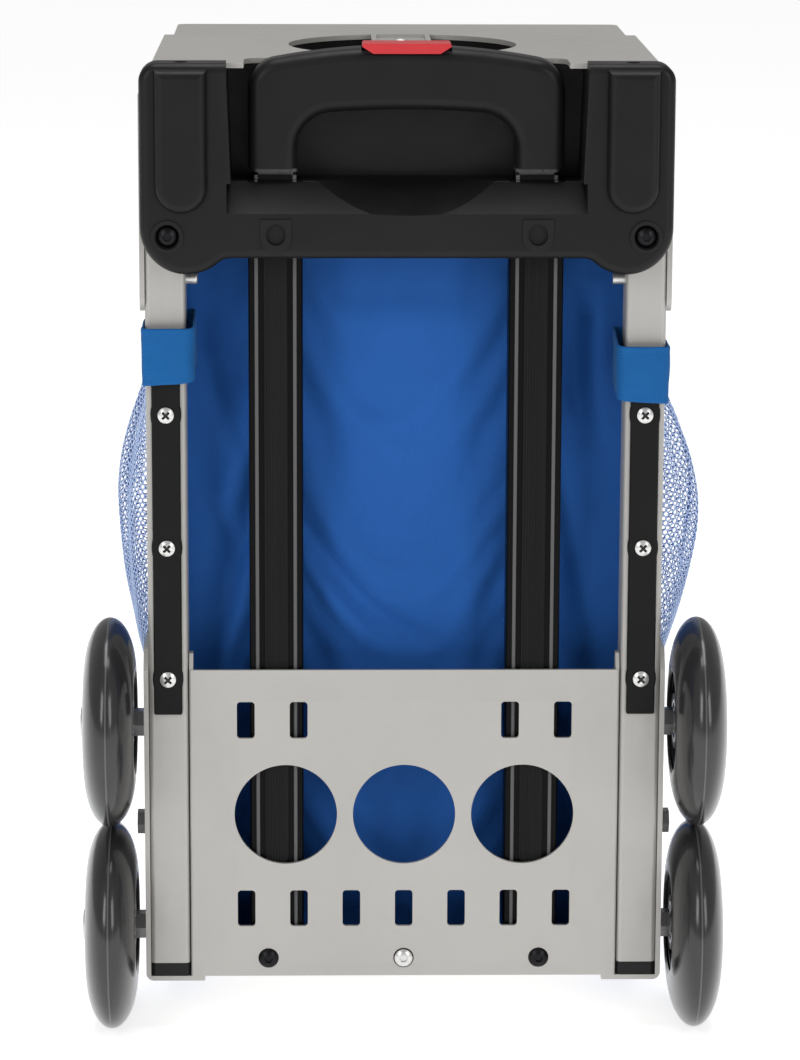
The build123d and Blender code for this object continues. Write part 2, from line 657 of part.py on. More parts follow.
with BuildPart() as grip:
    with BuildSketch(rear_plane(GRIP_FRONT)) as grip_outline:
        with BuildLine():
            arched_door(GRIP_HALF, GRIP_BOTTOM, GRIP_TOP, GRIP_ARCH)
        make_face()
        shoulders = grip_outline.vertices().filter_by(lambda v: abs(v.Y - GRIP_TOP + GRIP_ARCH) < 0.1)
        fillet(shoulders, GRIP_CORNER_R)
        with BuildLine():
            arched_door(GRIP_HALF - GRIP_LEG_W, GRIP_BOTTOM - 5, GRIP_UNDERSIDE, OPENING_ARCH)
        make_face(mode=Mode.SUBTRACT)
        inner_corners = grip_outline.vertices().filter_by(
            lambda v: abs(v.Y - GRIP_UNDERSIDE + OPENING_ARCH) < 0.1
        )
        fillet(inner_corners, OPENING_CORNER_R)
    extrude(amount=GRIP_D)
    round_edges = grip.faces().filter_by(Axis.Y).edges().filter_by(
        lambda e: e.center().Z > GRIP_BOTTOM + 0.5
    )
    fillet(round_edges, 6.0)
    with BuildSketch(Plane.XY.offset(GRIP_TOP - BUTTON_TRAVEL - 0.4)):
        with Locations((0, BUTTON_FRONT + 0.4 - GRIP_D / 2)):
            Rectangle(2 * BUTTON_HALF + 0.8, GRIP_D)
    extrude(amount=8, mode=Mode.SUBTRACT)
    with BuildSketch(Plane.XY.offset(484)):
        with Locations((0, TUBE_Y)):
            Rectangle(2 * BORE_HALF, 9)
    extrude(amount=20, mode=Mode.SUBTRACT)
save(grip, "grip")

with BuildPart() as grip_ferrules:
    with BuildSketch(Plane.XY.offset(GRIP_BOTTOM - 1.8)):
        with Locations((-TUBE_X, TUBE_Y), (TUBE_X, TUBE_Y)):
            RectangleRounded(INNER_W + 3.2, INNER_D + 6.0, 2.0)
            RectangleRounded(INNER_W, INNER_D, 1.2, mode=Mode.SUBTRACT)
    extrude(amount=1.8)
save(grip_ferrules, "grip_ferrules")

BUTTON_FOOT = 499.6       # lower edge of the button's rear lip
CORE_BOTTOM = 490.0

with BuildPart() as release_button:
    with BuildSketch(rear_plane(BUTTON_FRONT)) as button_top:
        with Locations((0, (BUTTON_TOP + GRIP_TOP + 0.4) / 2)):
            Rectangle(2 * BUTTON_HALF, BUTTON_TOP - GRIP_TOP - 0.4)
        fillet(button_top.vertices().group_by(Axis.Y)[-1], 1.2)
    extrude(amount=BUTTON_D)
    with BuildSketch(rear_plane(TUBE_Y - GRIP_D / 2 - 0.4)):
        with BuildLine():
            Polyline(
                (-BUTTON_HALF, GRIP_TOP + 0.4),
                (BUTTON_HALF, GRIP_TOP + 0.4),
                (BUTTON_HALF - 5.4, BUTTON_FOOT),
                (5.4 - BUTTON_HALF, BUTTON_FOOT),
                close=True,
            )
        make_face()
    extrude(amount=1.0)
    with BuildSketch(Plane.XY.offset(CORE_BOTTOM)):
        with Locations((0, TUBE_Y)):
            Rectangle(2 * BORE_HALF - 1, 8)
    extrude(amount=GRIP_TOP + 1 - CORE_BOTTOM)
save(release_button, "release_button")

with BuildPart() as release_spring:
    with BuildSketch(rear_plane(TUBE_Y + 3)):
        with BuildLine():
            ThreePointArc((-12, 484.0), (0, CORE_BOTTOM), (12, 484.0))
            Line((12, 484.0), (11.2, 484.0))
            ThreePointArc((11.2, 484.0), (0, CORE_BOTTOM - 0.6), (-11.2, 484.0))
            Line((-11.2, 484.0), (-12, 484.0))
        make_face()
    extrude(amount=6)
save(release_spring, "release_spring")


# ---- wheels ----
def wheel_plane(sign, z):
    """Plane through the wheel's centre: local x runs along the axle, local y is the radius."""
    return Plane(origin=(sign * WHEEL_X, REAR_POST_Y, z), x_dir=(1, 0, 0), z_dir=(0, -1, 0))


HUB_R = 25.0
SHOULDER_R = 27.0         # where the tyre's rounded sides start
BEARING_R = 11.0
BEARING_W = 7.0
SPOKES = 6

for side, sign in SIDES.items():
    for level, z in AXLES.items():
        plane = wheel_plane(sign, z)
        axle = Axis((sign * WHEEL_X, REAR_POST_Y, z), (1, 0, 0))
        with BuildPart() as tyre:
            with BuildSketch(plane):
                with BuildLine():
                    Polyline(
                        (-WHEEL_HALF, SHOULDER_R),
                        (0.8 - WHEEL_HALF, HUB_R),
                        (WHEEL_HALF - 0.8, HUB_R),
                        (WHEEL_HALF, SHOULDER_R),
                    )
                    EllipticalCenterArc((0, SHOULDER_R), WHEEL_HALF, WHEEL_R - SHOULDER_R, 0, arc_size=180)
                make_face()
            revolve(axis=axle)
        save(tyre, f"wheel_{level}_{side}_tyre")
        with BuildPart() as hub:
            with BuildSketch(plane):
                with BuildLine():
                    rim_profile = [(11.0, HUB_R), (11.0, 21.5), (4.5, 20.5), (4.5, 15.5)]
                    boss_profile = [(11.6, 14.0), (11.6, BEARING_R)]
                    step = [(11.6 - BEARING_W, BEARING_R), (11.6 - BEARING_W, 8.0)]
                    right = rim_profile + boss_profile + step
                    left = [(-a, r) for a, r in reversed(right)]
                    Polyline(*right, *left, close=True)
                make_face()
            revolve(axis=axle)
            spoke_plane = Plane(origin=(sign * WHEEL_X - 6, REAR_POST_Y, z), x_dir=(0, 1, 0), z_dir=(1, 0, 0))
            with BuildSketch(spoke_plane):
                with PolarLocations(18.0, SPOKES):
                    SlotOverall(9.5, 3.6, rotation=90)
            extrude(amount=12, mode=Mode.SUBTRACT)
        save(hub, f"wheel_{level}_{side}_hub")
        with BuildPart() as bearings:
            with BuildSketch(plane):
                for end in (-1, 1):
                    face = end * 11.6
                    with BuildLine():
                        Polyline(
                            (face, BEARING_R),
                            (face, 9.2),
                            (face - end * 0.5, 9.2),
                            (face - end * 0.5, 6.2),
                            (face, 6.2),
                            (face, AXLE_R + 0.05),
                            (face - end * BEARING_W, AXLE_R + 0.05),
                            (face - end * BEARING_W, BEARING_R),
                            close=True,
                        )
                    make_face()
            revolve(axis=axle)
        save(bearings, f"wheel_{level}_{side}_bearings")

BOLT_HEAD_R = 8.2
BOLT_HEAD_X = WHEEL_X + WHEEL_HALF - 0.8
BOLT_RIM = 2.6            # thickness of the head at its rim

with BuildPart() as axle_bolts:
    for sign in SIDES.values():
        for z in AXLES.values():
            with BuildSketch(Plane(origin=(0, REAR_POST_Y, z), x_dir=(sign, 0, 0), z_dir=(0, -sign, 0))):
                with BuildLine():
                    Polyline(
                        (BOLT_HEAD_X + BOLT_RIM + 0.8, 0),
                        (POST_X - POST_W / 2, 0),
                        (POST_X - POST_W / 2, AXLE_R),
                        (BOLT_HEAD_X, AXLE_R),
                        (BOLT_HEAD_X, BOLT_HEAD_R),
                        (BOLT_HEAD_X + BOLT_RIM - 0.6, BOLT_HEAD_R),
                        (BOLT_HEAD_X + BOLT_RIM, BOLT_HEAD_R - 0.6),
                    )
                    rise, out = dome_point(0.8, BOLT_HEAD_R - 0.6)
                    ThreePointArc(
                        (BOLT_HEAD_X + BOLT_RIM, BOLT_HEAD_R - 0.6),
                        (BOLT_HEAD_X + BOLT_RIM + rise, out),
                        (BOLT_HEAD_X + BOLT_RIM + 0.8, 0),
                    )
                make_face()
            revolve(axis=Axis((0, REAR_POST_Y, z), (1, 0, 0)))
save(axle_bolts, "axle_bolts")

with BuildPart() as axle_spacers:
    for sign in SIDES.values():
        for z in AXLES.values():
            with BuildSketch(Plane(origin=(sign * FRAME_HALF, REAR_POST_Y, z), x_dir=(0, 1, 0), z_dir=(1, 0, 0))):
                RegularPolygon(7.4, 6)
                Circle(AXLE_R, mode=Mode.SUBTRACT)
            extrude(amount=sign * 5.4)
save(axle_spacers, "axle_spacers")

with BuildPart() as bracket_bolts:
    for sign in SIDES.values():
        with BuildSketch(Plane(origin=(sign * FRAME_HALF, REAR_POST_Y, BOLT_Z), x_dir=(0, 1, 0), z_dir=(1, 0, 0))):
            RegularPolygon(6.5, 6)
        extrude(amount=sign * 4.0)
        with BuildSketch(Plane(origin=(sign * FRAME_HALF, REAR_POST_Y, BOLT_Z), x_dir=(0, 1, 0), z_dir=(1, 0, 0))):
            Circle(3.0)
        extrude(amount=-sign * (POST_W + SHEET))
save(bracket_bolts, "bracket_bolts")

with BuildPart() as front_feet:
    for sign in SIDES.values():
        with BuildSketch(Plane(origin=(sign * FRONT_POST_X, FRONT_POST_Y, 0), x_dir=(1, 0, 0), z_dir=(0, -1, 0))):
            with BuildLine():
                waist = LIP_TOP - 4
                Polyline((0, 0), (9.5, 0), (11.0, 1.5), (8.5, waist), (12, LIP_TOP), (0, LIP_TOP), close=True)
            make_face()
        revolve(axis=Axis((sign * FRONT_POST_X, FRONT_POST_Y, 0), (0, 0, 1)))
save(front_feet, "front_feet")


# ---- insert bag: thin fabric walls, open inside ----
def bag_half_outline(inset):
    """Plan of one bag side from the back corner to the front corner, moved inwards by inset."""
    return [
        (BAG_SIDE_X - inset, BAG_BACK_Y + CLOTH),
        (BAG_SIDE_X - inset, BAG_BEND_Y),
        (BAG_NOSE_X - inset, 99.0),
        (BAG_NOSE_X - inset, BAG_FRONT_Y),
    ]


with BuildPart() as bag_back:
    with BuildSketch(rear_plane(BAG_BACK_Y + CLOTH)):
        with Locations((0, (BAG_FLOOR_Z + BAG_TOP_Z) / 2)):
            Rectangle(2 * BAG_SIDE_X, BAG_TOP_Z - BAG_FLOOR_Z)
    extrude(amount=CLOTH)
save(bag_back, "bag_back")

for side, sign in SIDES.items():
    with BuildPart() as bag_side:
        with BuildSketch(Plane.XY.offset(BAG_FLOOR_Z)):
            with BuildLine():
                outer = [(sign * x, y) for x, y in bag_half_outline(0)]
                inner = [(sign * x, y) for x, y in bag_half_outline(CLOTH)]
                Polyline(*outer, *reversed(inner), close=True)
            make_face()
        extrude(amount=BAG_TOP_Z - BAG_FLOOR_Z)
    save(bag_side, f"bag_side_{side}")


def bag_plan():
    """Full plan of the bag, inside its walls."""
    right = bag_half_outline(CLOTH)
    left = [(-x, y) for x, y in reversed(right)]
    Polyline(*right, *left, close=True)


with BuildPart() as bag_floor:
    with BuildSketch(Plane.XY.offset(BAG_FLOOR_Z)):
        with BuildLine():
            bag_plan()
        make_face()
    extrude(amount=CLOTH)
save(bag_floor, "bag_floor")

with BuildPart() as bag_top:
    with BuildSketch(Plane.XY.offset(BAG_TOP_Z - CLOTH)):
        with BuildLine():
            bag_plan()
        make_face()
    extrude(amount=CLOTH)
save(bag_top, "bag_top")

with BuildPart() as bag_front:
    with BuildSketch(rear_plane(BAG_FRONT_Y + CLOTH)):
        with Locations((0, (BAG_FLOOR_Z + BAG_TOP_Z) / 2)):
            Rectangle(2 * BAG_NOSE_X, BAG_TOP_Z - BAG_FLOOR_Z)
        with Locations((0, (FLAP_BOTTOM + 8 + FLAP_TOP - 8) / 2)):
            RectangleRounded(2 * FLAP_HALF - 16, FLAP_TOP - FLAP_BOTTOM - 16, 30, mode=Mode.SUBTRACT)
    extrude(amount=CLOTH)
save(bag_front, "bag_front")

FLAP_Y = BAG_FRONT_Y + CLOTH + 1.0

with BuildPart() as bag_flap:
    with BuildSketch(rear_plane(FLAP_Y + CLOTH)):
        with Locations((0, (FLAP_BOTTOM + FLAP_TOP) / 2)):
            RectangleRounded(2 * FLAP_HALF, FLAP_TOP - FLAP_BOTTOM, 34)
    extrude(amount=CLOTH)
save(bag_flap, "bag_flap")

with BuildPart() as flap_pocket:
    with BuildSketch(rear_plane(FLAP_Y + CLOTH)):
        with Locations((0, 200)):
            RectangleRounded(116, 170, 14)
    extrude(amount=-FLAP_POCKET_D, taper=20)
save(flap_pocket, "flap_pocket")

with BuildPart() as zip_pulls:
    with BuildSketch(rear_plane(FLAP_Y + CLOTH + 2.2)):
        with Locations((-9, FLAP_TOP - 14), (9, FLAP_TOP - 14)):
            RectangleRounded(6, 22, 2)
    extrude(amount=2.2)
save(zip_pulls, "zip_pulls")

# ---- straps round the rear posts ----
STRAP_T = 2.0
STRAP_H = 29.0
STRAP_Z = {"left": 336.0, "right": 327.0}
STRAP_GAP = 0.4
STRAP_SLACK = 3.0         # spare width of the loop on the post's inner side

for side, sign in SIDES.items():
    with BuildPart() as strap:
        loop_w = POST_W + 2 * STRAP_GAP + STRAP_SLACK
        loop_front = BAG_BACK_Y - STRAP_GAP - 3
        loop_rear = REAR_Y - STRIP_T - 2.6
        with BuildSketch(Plane.XY.offset(STRAP_Z[side])):
            with Locations((sign * (POST_X - STRAP_SLACK / 2), (loop_front + loop_rear) / 2)):
                RectangleRounded(loop_w + 2 * STRAP_T, loop_front - loop_rear + 2 * STRAP_T, 4)
                RectangleRounded(loop_w, loop_front - loop_rear, 2, mode=Mode.SUBTRACT)
        extrude(amount=STRAP_H)
    save(strap, f"post_strap_{side}")

# ---- mesh side pockets ----
POCKET_Y = (-28.0, 68.0)
POCKET_Z = (172.0, 330.0)
POCKET_OUT = {"left": 148.0, "right": 157.0}
POCKET_T = 1.6


def pocket_pan(sign, out, skin, mouth):
    """Tapered pan that bulges from the bag's side to out; skin moves its faces in, mouth lifts its top."""
    base = BAG_SIDE_X + 0.6
    bottom = POCKET_Z[0] + skin
    top = POCKET_Z[1] + mouth
    with BuildPart() as pan:
        with BuildSketch(Plane.YZ.offset(sign * base)):
            with Locations(((POCKET_Y[0] + POCKET_Y[1]) / 2, (bottom + top) / 2)):
                RectangleRounded(POCKET_Y[1] - POCKET_Y[0] - 2 * skin, top - bottom, 16)
        extrude(amount=sign * (out - base - skin), taper=16)
        rim = pan.faces().sort_by(Axis.X)[-1 if sign > 0 else 0]
        fillet(rim.edges(), 5)
    return pan


for side, sign in SIDES.items():
    bulge = pocket_pan(sign, POCKET_OUT[side], 0, 0)
    hollow = pocket_pan(sign, POCKET_OUT[side], POCKET_T, 26)
    with BuildPart() as pocket:
        add(bulge.part)
        add(hollow.part, mode=Mode.SUBTRACT)
    save(pocket, f"mesh_pocket_{side}")
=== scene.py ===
import json
import math

import bpy
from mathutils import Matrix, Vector, noise


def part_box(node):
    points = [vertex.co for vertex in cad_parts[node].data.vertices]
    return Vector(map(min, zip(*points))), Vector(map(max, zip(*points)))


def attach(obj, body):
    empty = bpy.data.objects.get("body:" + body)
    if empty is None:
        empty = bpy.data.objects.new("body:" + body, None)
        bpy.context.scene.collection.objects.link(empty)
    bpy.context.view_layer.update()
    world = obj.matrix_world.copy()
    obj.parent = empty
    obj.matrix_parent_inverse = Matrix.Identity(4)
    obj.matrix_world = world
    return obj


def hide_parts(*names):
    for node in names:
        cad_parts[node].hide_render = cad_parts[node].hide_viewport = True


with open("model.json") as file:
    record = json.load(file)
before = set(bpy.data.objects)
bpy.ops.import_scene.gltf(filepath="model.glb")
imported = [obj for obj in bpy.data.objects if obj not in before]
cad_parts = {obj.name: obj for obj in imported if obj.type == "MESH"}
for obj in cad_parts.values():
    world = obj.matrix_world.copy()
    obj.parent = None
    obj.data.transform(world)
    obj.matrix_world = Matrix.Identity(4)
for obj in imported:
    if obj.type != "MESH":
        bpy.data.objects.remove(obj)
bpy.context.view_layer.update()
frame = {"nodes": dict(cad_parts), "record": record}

SIDES = {"left": -1, "right": 1}
NODES = frame["nodes"]


# ---------------------------------------------------------------- materials
def srgb(red, green, blue):
    """Scene-linear colour of a display colour given from 0 to 255."""
    out = []
    for value in (red, green, blue):
        c = value / 255
        out.append(c / 12.92 if c <= 0.04045 else ((c + 0.055) / 1.055) ** 2.4)
    return (*out, 1.0)


class Shader:
    """A material being built: its nodes, its links and its Principled shader."""

    def __init__(self, name):
        self.material = bpy.data.materials.new(name)
        self.material.use_nodes = True
        self.tree = self.material.node_tree
        self.shader = self.tree.nodes["Principled BSDF"]
        self.place = self.add("ShaderNodeTexCoord").outputs["Object"]

    def add(self, kind, **values):
        made = self.tree.nodes.new(kind)
        for key, value in values.items():
            name = key.replace("_", " ")
            if name in made.inputs:
                self.feed(made.inputs[name], value)
            else:
                setattr(made, key, value)
        return made

    def feed(self, socket, value):
        if isinstance(value, bpy.types.NodeSocket):
            self.tree.links.new(value, socket)
        else:
            socket.default_value = value

    def set(self, **values):
        for key, value in values.items():
            self.feed(self.shader.inputs[key.replace("_", " ")], value)

    def math(self, operation, first, second=0.0):
        made = self.tree.nodes.new("ShaderNodeMath")
        made.operation = operation
        self.feed(made.inputs[0], first)
        self.feed(made.inputs[1], second)
        return made.outputs[0]

    def noise(self, scale, detail=4.0, roughness=0.55, stretch=None):
        made = self.add("ShaderNodeTexNoise", Scale=scale, Detail=detail, Roughness=roughness)
        source = self.place
        if stretch:
            mapping = self.add("ShaderNodeMapping", Vector=self.place, Scale=stretch)
            source = mapping.outputs["Vector"]
        self.feed(made.inputs["Vector"], source)
        return made.outputs["Fac"]

    def ramp(self, value, *stops):
        made = self.add("ShaderNodeValToRGB", Fac=value)
        points = made.color_ramp.elements
        while len(points) < len(stops):
            points.new(0.5)
        for point, (position, colour) in zip(points, stops):
            point.position = position
            point.color = colour
        return made.outputs["Color"]

    def mix(self, amount, first, second, blend="MIX"):
        made = self.add("ShaderNodeMix", data_type="RGBA", blend_type=blend)
        self.feed(made.inputs[0], amount)
        self.feed(made.inputs[6], first)
        self.feed(made.inputs[7], second)
        return made.outputs[2]

    def roughness(self, value, low, high, start=0.3, end=0.7):
        """Roughness from low to high as a value goes from start to end."""
        self.set(Roughness=self.ramp(value, (start, (low,) * 3 + (1,)), (end, (high,) * 3 + (1,))))

    def bump(self, height, distance, strength=1.0, normal=None):
        made = self.add("ShaderNodeBump", Height=height, Distance=distance, Strength=strength)
        if normal:
            self.feed(made.inputs["Normal"], normal)
        return made.outputs["Normal"]

    def coordinates(self):
        split = self.add("ShaderNodeSeparateXYZ", Vector=self.place)
        return split.outputs

    def edges(self, low, high):
        """0 on flats, 1 on edges, where the painted highlight goes."""
        point = self.add("ShaderNodeNewGeometry").outputs["Pointiness"]
        return self.ramp(point, (low, (0, 0, 0, 1)), (high, (1, 1, 1, 1)))


def shade_of(colour, factor):
    return (colour[0] * factor, colour[1] * factor, colour[2] * factor, 1.0)


def painted(name, colour):
    """Satin paint on sheet metal, with a faint orange peel and edges lightened as a painted highlight."""
    m = Shader(name)
    cloudy = m.ramp(m.noise(9.0), (0.3, shade_of(colour, 0.93)), (0.7, shade_of(colour, 1.04)))
    # Painted highlight: the edges are lightened.
    edge_highlit_paint = m.mix(m.math("MULTIPLY", m.edges(0.53, 0.62), 0.25), cloudy, shade_of(colour, 1.25))
    m.set(Base_Color=edge_highlit_paint, Metallic=0.25)
    m.roughness(m.noise(140.0), 0.36, 0.48)
    m.set(Normal=m.bump(m.noise(1100.0, 2.0), 0.00004, 0.5))
    return m.material


def moulded(name, colour, rough=0.42, grain=1600.0, depth=0.00006, edge_highlight=1.9, gloss=0.32):
    """Moulded plastic with a fine spark-eroded grain, and edges lightened as a painted highlight."""
    m = Shader(name)
    m.set(Specular_IOR_Level=gloss)
    mottled = m.ramp(m.noise(24.0), (0.3, shade_of(colour, 0.86)), (0.72, shade_of(colour, 1.15)))
    # Painted highlight: the edges are lightened.
    edge_highlit = m.mix(m.math("MULTIPLY", m.edges(0.52, 0.6), 0.5), mottled, shade_of(colour, edge_highlight))
    m.set(Base_Color=edge_highlit)
    m.roughness(m.noise(60.0), rough - 0.06, rough + 0.07)
    m.set(Normal=m.bump(m.noise(grain, 3.0), depth, 0.6))
    return m.material


def anodised(name, colour, rough, metal=0.3, gloss=0.25, ridge_highlight=None, ribs=0.0):
    """Drawn anodised tube with faint streaks along it.

    The colour given for the ridge paints a highlight in a narrow band on each side of the channel, and ribs
    is the pitch of fine ribs, whose crests get a painted highlight.
    """
    m = Shader(name)
    m.set(Specular_IOR_Level=gloss)
    streaks = m.noise(260.0, 3.0, stretch=(1.0, 1.0, 0.02))
    tone = m.ramp(streaks, (0.3, shade_of(colour, 0.8)), (0.7, shade_of(colour, 1.25)))
    x = m.coordinates()["X"]
    height = streaks
    if ridge_highlight:
        # Painted highlight: a light band beside each channel, where the rounded ridge catches the light.
        off = m.math("ABSOLUTE", m.math("SUBTRACT", m.math("ABSOLUTE", x), TUBE_MIDDLE))
        ridge_highlight_band = m.math("LESS_THAN", m.math("ABSOLUTE", m.math("SUBTRACT", off, RIDGE_OFF)), RIDGE_HIGHLIGHT_HALF)
        tone = m.mix(ridge_highlight_band, tone, ridge_highlight)
    if ribs:
        # Painted highlight: each rib's crest is lightened.
        wave = m.math("SINE", m.math("MULTIPLY", x, 2 * math.pi / ribs))
        tone = m.mix(m.math("MULTIPLY", m.math("ADD", wave, 1.0), 0.13), tone, shade_of(colour, 2.6))
        height = m.math("ADD", streaks, wave)
    m.set(Base_Color=tone, Metallic=metal)
    m.roughness(streaks, rough - 0.05, rough + 0.06)
    m.set(Normal=m.bump(height, 0.00003, 0.5))
    return m.material


def plated(name, colour, rough, swirl=700.0, metal=0.95, recess_shade_from=None):
    """Plated or blackened steel with machining marks.

    Past the Y given for the recess, the driver recess of a screw and the lower rim of its head get painted
    shade.
    """
    m = Shader(name)
    marks = m.noise(swirl, 4.0, stretch=(1.0, 0.25, 1.0))
    tone = m.ramp(marks, (0.25, shade_of(colour, 0.9)), (0.75, shade_of(colour, 1.06)))
    if recess_shade_from is not None:
        # Painted shade: the recess and the head's lower rim turn dark past a set depth.
        recess_shade = m.math("GREATER_THAN", m.coordinates()["Y"], recess_shade_from)
        tone = m.mix(recess_shade, tone, srgb(46, 46, 48))
    m.set(Base_Color=tone)
    m.set(Metallic=metal)
    m.roughness(marks, rough - 0.04, rough + 0.06)
    m.set(Normal=m.bump(marks, 0.00003, 0.6))
    return m.material


def urethane(name, middle):
    """Smoky cast polyurethane with light scuffs, and a parting line round the middle of the tread."""
    m = Shader(name)
    smoke = m.ramp(m.noise(26.0, 2.0), (0.3, srgb(38, 38, 39)), (0.75, srgb(46, 46, 47)))
    scuffs = m.noise(300.0, 3.0, stretch=(0.2, 1.0, 1.0))
    scuffed = m.mix(m.ramp(scuffs, (0.66, (0, 0, 0, 1)), (0.8, (0.06,) * 3 + (1,))), smoke, srgb(84, 84, 85))
    across = m.math("SUBTRACT", m.math("ABSOLUTE", m.coordinates()["X"]), middle)
    line = m.math("LESS_THAN", m.math("ABSOLUTE", across), PARTING_HALF)
    m.set(Base_Color=m.mix(m.math("MULTIPLY", line, 0.4), scuffed, srgb(120, 120, 120)))
    m.roughness(scuffs, 0.2, 0.26, start=0.35)
    m.set(Specular_IOR_Level=0.42, Coat_Weight=0.25, Coat_Roughness=0.1)
    m.set(Normal=m.bump(scuffs, 0.00001, 0.2, m.bump(line, 0.0001, 0.6)))
    return m.material


def woven(name, colour, pitch, depth, sheen=0.06, rough=0.72):
    """Plain weave: warp along Z, weft round the object, with uneven yarns."""
    m = Shader(name)
    x, y, z = m.coordinates()[:3]
    turns = 2 * math.pi / pitch
    warp = m.math("SINE", m.math("MULTIPLY", m.math("ADD", x, y), turns))
    weft = m.math("SINE", m.math("MULTIPLY", z, turns))
    weave = m.math("MULTIPLY", warp, weft)
    yarn = m.noise(520.0, 3.0)
    worn = m.noise(11.0, 5.0)
    tone = m.ramp(worn, (0.25, shade_of(colour, 0.88)), (0.75, shade_of(colour, 1.1)))
    # Painted highlight: the raised crossings of the weave are lightened.
    tone = m.mix(m.math("MULTIPLY", m.math("ADD", weave, 1.0), 0.09), tone, shade_of(colour, 1.7))
    tone = m.mix(m.math("MULTIPLY", yarn, 0.22), tone, shade_of(colour, 0.6))
    m.set(Base_Color=tone, Roughness=rough, Sheen_Weight=sheen, Sheen_Roughness=0.45, Specular_IOR_Level=0.2)
    fine = m.bump(m.math("ADD", weave, yarn), depth, 0.7)
    m.set(Normal=m.bump(worn, 0.0006, 0.35, fine))
    return m.material


WHEEL_MIDDLE = sum(corner[0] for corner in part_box("wheel_lower_right_tyre")) / 2
OUTER_TUBE_HALF = 0.0135
TUBE_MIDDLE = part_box("outer_tubes")[1][0] - OUTER_TUBE_HALF
RIDGE_OFF = 0.0095          # from a tube's middle to the ridge beside its channel
# Half width of the painted highlight band on each ridge.
RIDGE_HIGHLIGHT_HALF = 0.0009
RECESS_SHADE_DEPTH = 0.00148      # below a screw head's crown, where painted shade starts in its recess
PARTING_HALF = 0.0004

MATERIALS = {
    "frame_paint": painted("frame_paint", srgb(170, 168, 164)),
    "dark_plastic": moulded("dark_plastic", srgb(20, 20, 20), rough=0.42, gloss=0.2),
    "rub_plastic": moulded("rub_plastic", srgb(14, 14, 14), rough=0.42, gloss=0.14),
    "cap_plastic": moulded("cap_plastic", srgb(18, 18, 19), rough=0.36, grain=900.0, gloss=0.2),
    "bright_screw": plated("bright_screw", srgb(206, 206, 204), 0.3, metal=0.8),
    "dark_screw": plated("dark_screw", srgb(36, 36, 38), 0.36),
    # The light band on the black tube is a painted highlight.
    "black_tube": anodised("black_tube", srgb(9, 9, 9), 0.3, metal=0.0, gloss=0.08, ridge_highlight=srgb(92, 92, 93)),
    "tube_land": anodised("tube_land", srgb(24, 24, 25), 0.5, metal=0.0, gloss=0.08, ribs=0.0014),
    # The screws' recesses get painted shade.
    "strip_screw": plated("strip_screw", srgb(214, 214, 212), 0.3, metal=0.7,
                          recess_shade_from=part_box("strip_screws")[0][1] + RECESS_SHADE_DEPTH),
    "centre_screw": plated("centre_screw", srgb(214, 214, 212), 0.3, metal=0.7,
                           recess_shade_from=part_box("tray_screw_centre")[0][1] + RECESS_SHADE_DEPTH),
    "nut_steel": plated("nut_steel", srgb(128, 128, 128), 0.3),
    "inner_tube": anodised("inner_tube", srgb(78, 78, 80), 0.3),
    # The red button's edges get a milder painted highlight.
    "red_plastic": moulded("red_plastic", srgb(182, 40, 46), rough=0.34, grain=1200.0,
                           edge_highlight=1.25, gloss=0.4),
    "spring_steel": plated("spring_steel", srgb(120, 120, 124), 0.3),
    "foot_rubber": moulded("foot_rubber", srgb(26, 26, 26), rough=0.7, grain=500.0),
    "bag_fabric": woven("bag_fabric", srgb(30, 88, 164), 0.0009, 0.0001),
    "strap_web": woven("strap_web", srgb(14, 88, 150), 0.0014, 0.00014),
    "pocket_mesh": woven("pocket_mesh", srgb(190, 212, 250), 0.0007, 0.00008, sheen=0.3),
    "piping": woven("piping", srgb(26, 66, 130), 0.0009, 0.0001),
    "zip_pull": moulded("zip_pull", srgb(30, 30, 32)),
    "wheel_urethane": urethane("wheel_urethane", WHEEL_MIDDLE),
    "wheel_hub": moulded("wheel_hub", srgb(22, 22, 23), rough=0.36),
    "bearing_steel": plated("bearing_steel", srgb(176, 176, 178), 0.2),
}

SLOT_OF = {row["node"]: row["material_slot"] for row in frame["record"]["subparts"]}
FINISH_OF = {
    **SLOT_OF,
    "tube_strips": "tube_land",
    "strip_screws": "strip_screw",
    "tray_screw_centre": "centre_screw",
    "rub_strips": "rub_plastic",
    "axle_spacers": "nut_steel",
    "bracket_bolts": "nut_steel",
}
for node_name, cad_object in NODES.items():
    cad_object.data.materials.clear()
    cad_object.data.materials.append(MATERIALS[FINISH_OF[node_name]])


# ---------------------------------------------------------------- mesh helpers
def new_piece(name, verts, faces, material, body="frame", replaces=(), smooth=True):
    """A mesh piece in the row frame that rides on a body."""
    mesh = bpy.data.meshes.new(name)
    mesh.from_pydata([tuple(v) for v in verts], [], faces)
    mesh.validate()
    mesh.update()
    if smooth:
        mesh.polygons.foreach_set("use_smooth", [True] * len(mesh.polygons))
    piece = bpy.data.objects.new(name, mesh)
    bpy.context.scene.collection.objects.link(piece)
    piece.data.materials.append(MATERIALS[material])
    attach(piece, body)
    if replaces:
        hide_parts(*replaces)
    return piece


def add_modifier(piece, kind, **values):
    made = piece.modifiers.new(kind.title(), kind)
    for key, value in values.items():
        setattr(made, key, value)
    return made


def rounded_outline(corners, step):
    """Points along a path of (x, y, radius) corners, its bends rounded, about one step apart."""
    points = []
    last = len(corners) - 1
    for i, (x, y, radius) in enumerate(corners):
        here = Vector((x, y))
        if i in (0, last) or radius == 0:
            points.append(here)
            continue
        before = (Vector(corners[i - 1][:2]) - here).normalized()
        after = (Vector(corners[i + 1][:2]) - here).normalized()
        half = before.angle(after) / 2
        reach = radius / math.tan(half)
        start, end = here + before * reach, here + after * reach
        centre = here + (before + after).normalized() * (radius / math.sin(half))
        for k in range(7):
            spot = start.lerp(end, k / 6) - centre
            points.append(centre + spot.normalized() * radius)
    return spaced(points, step)


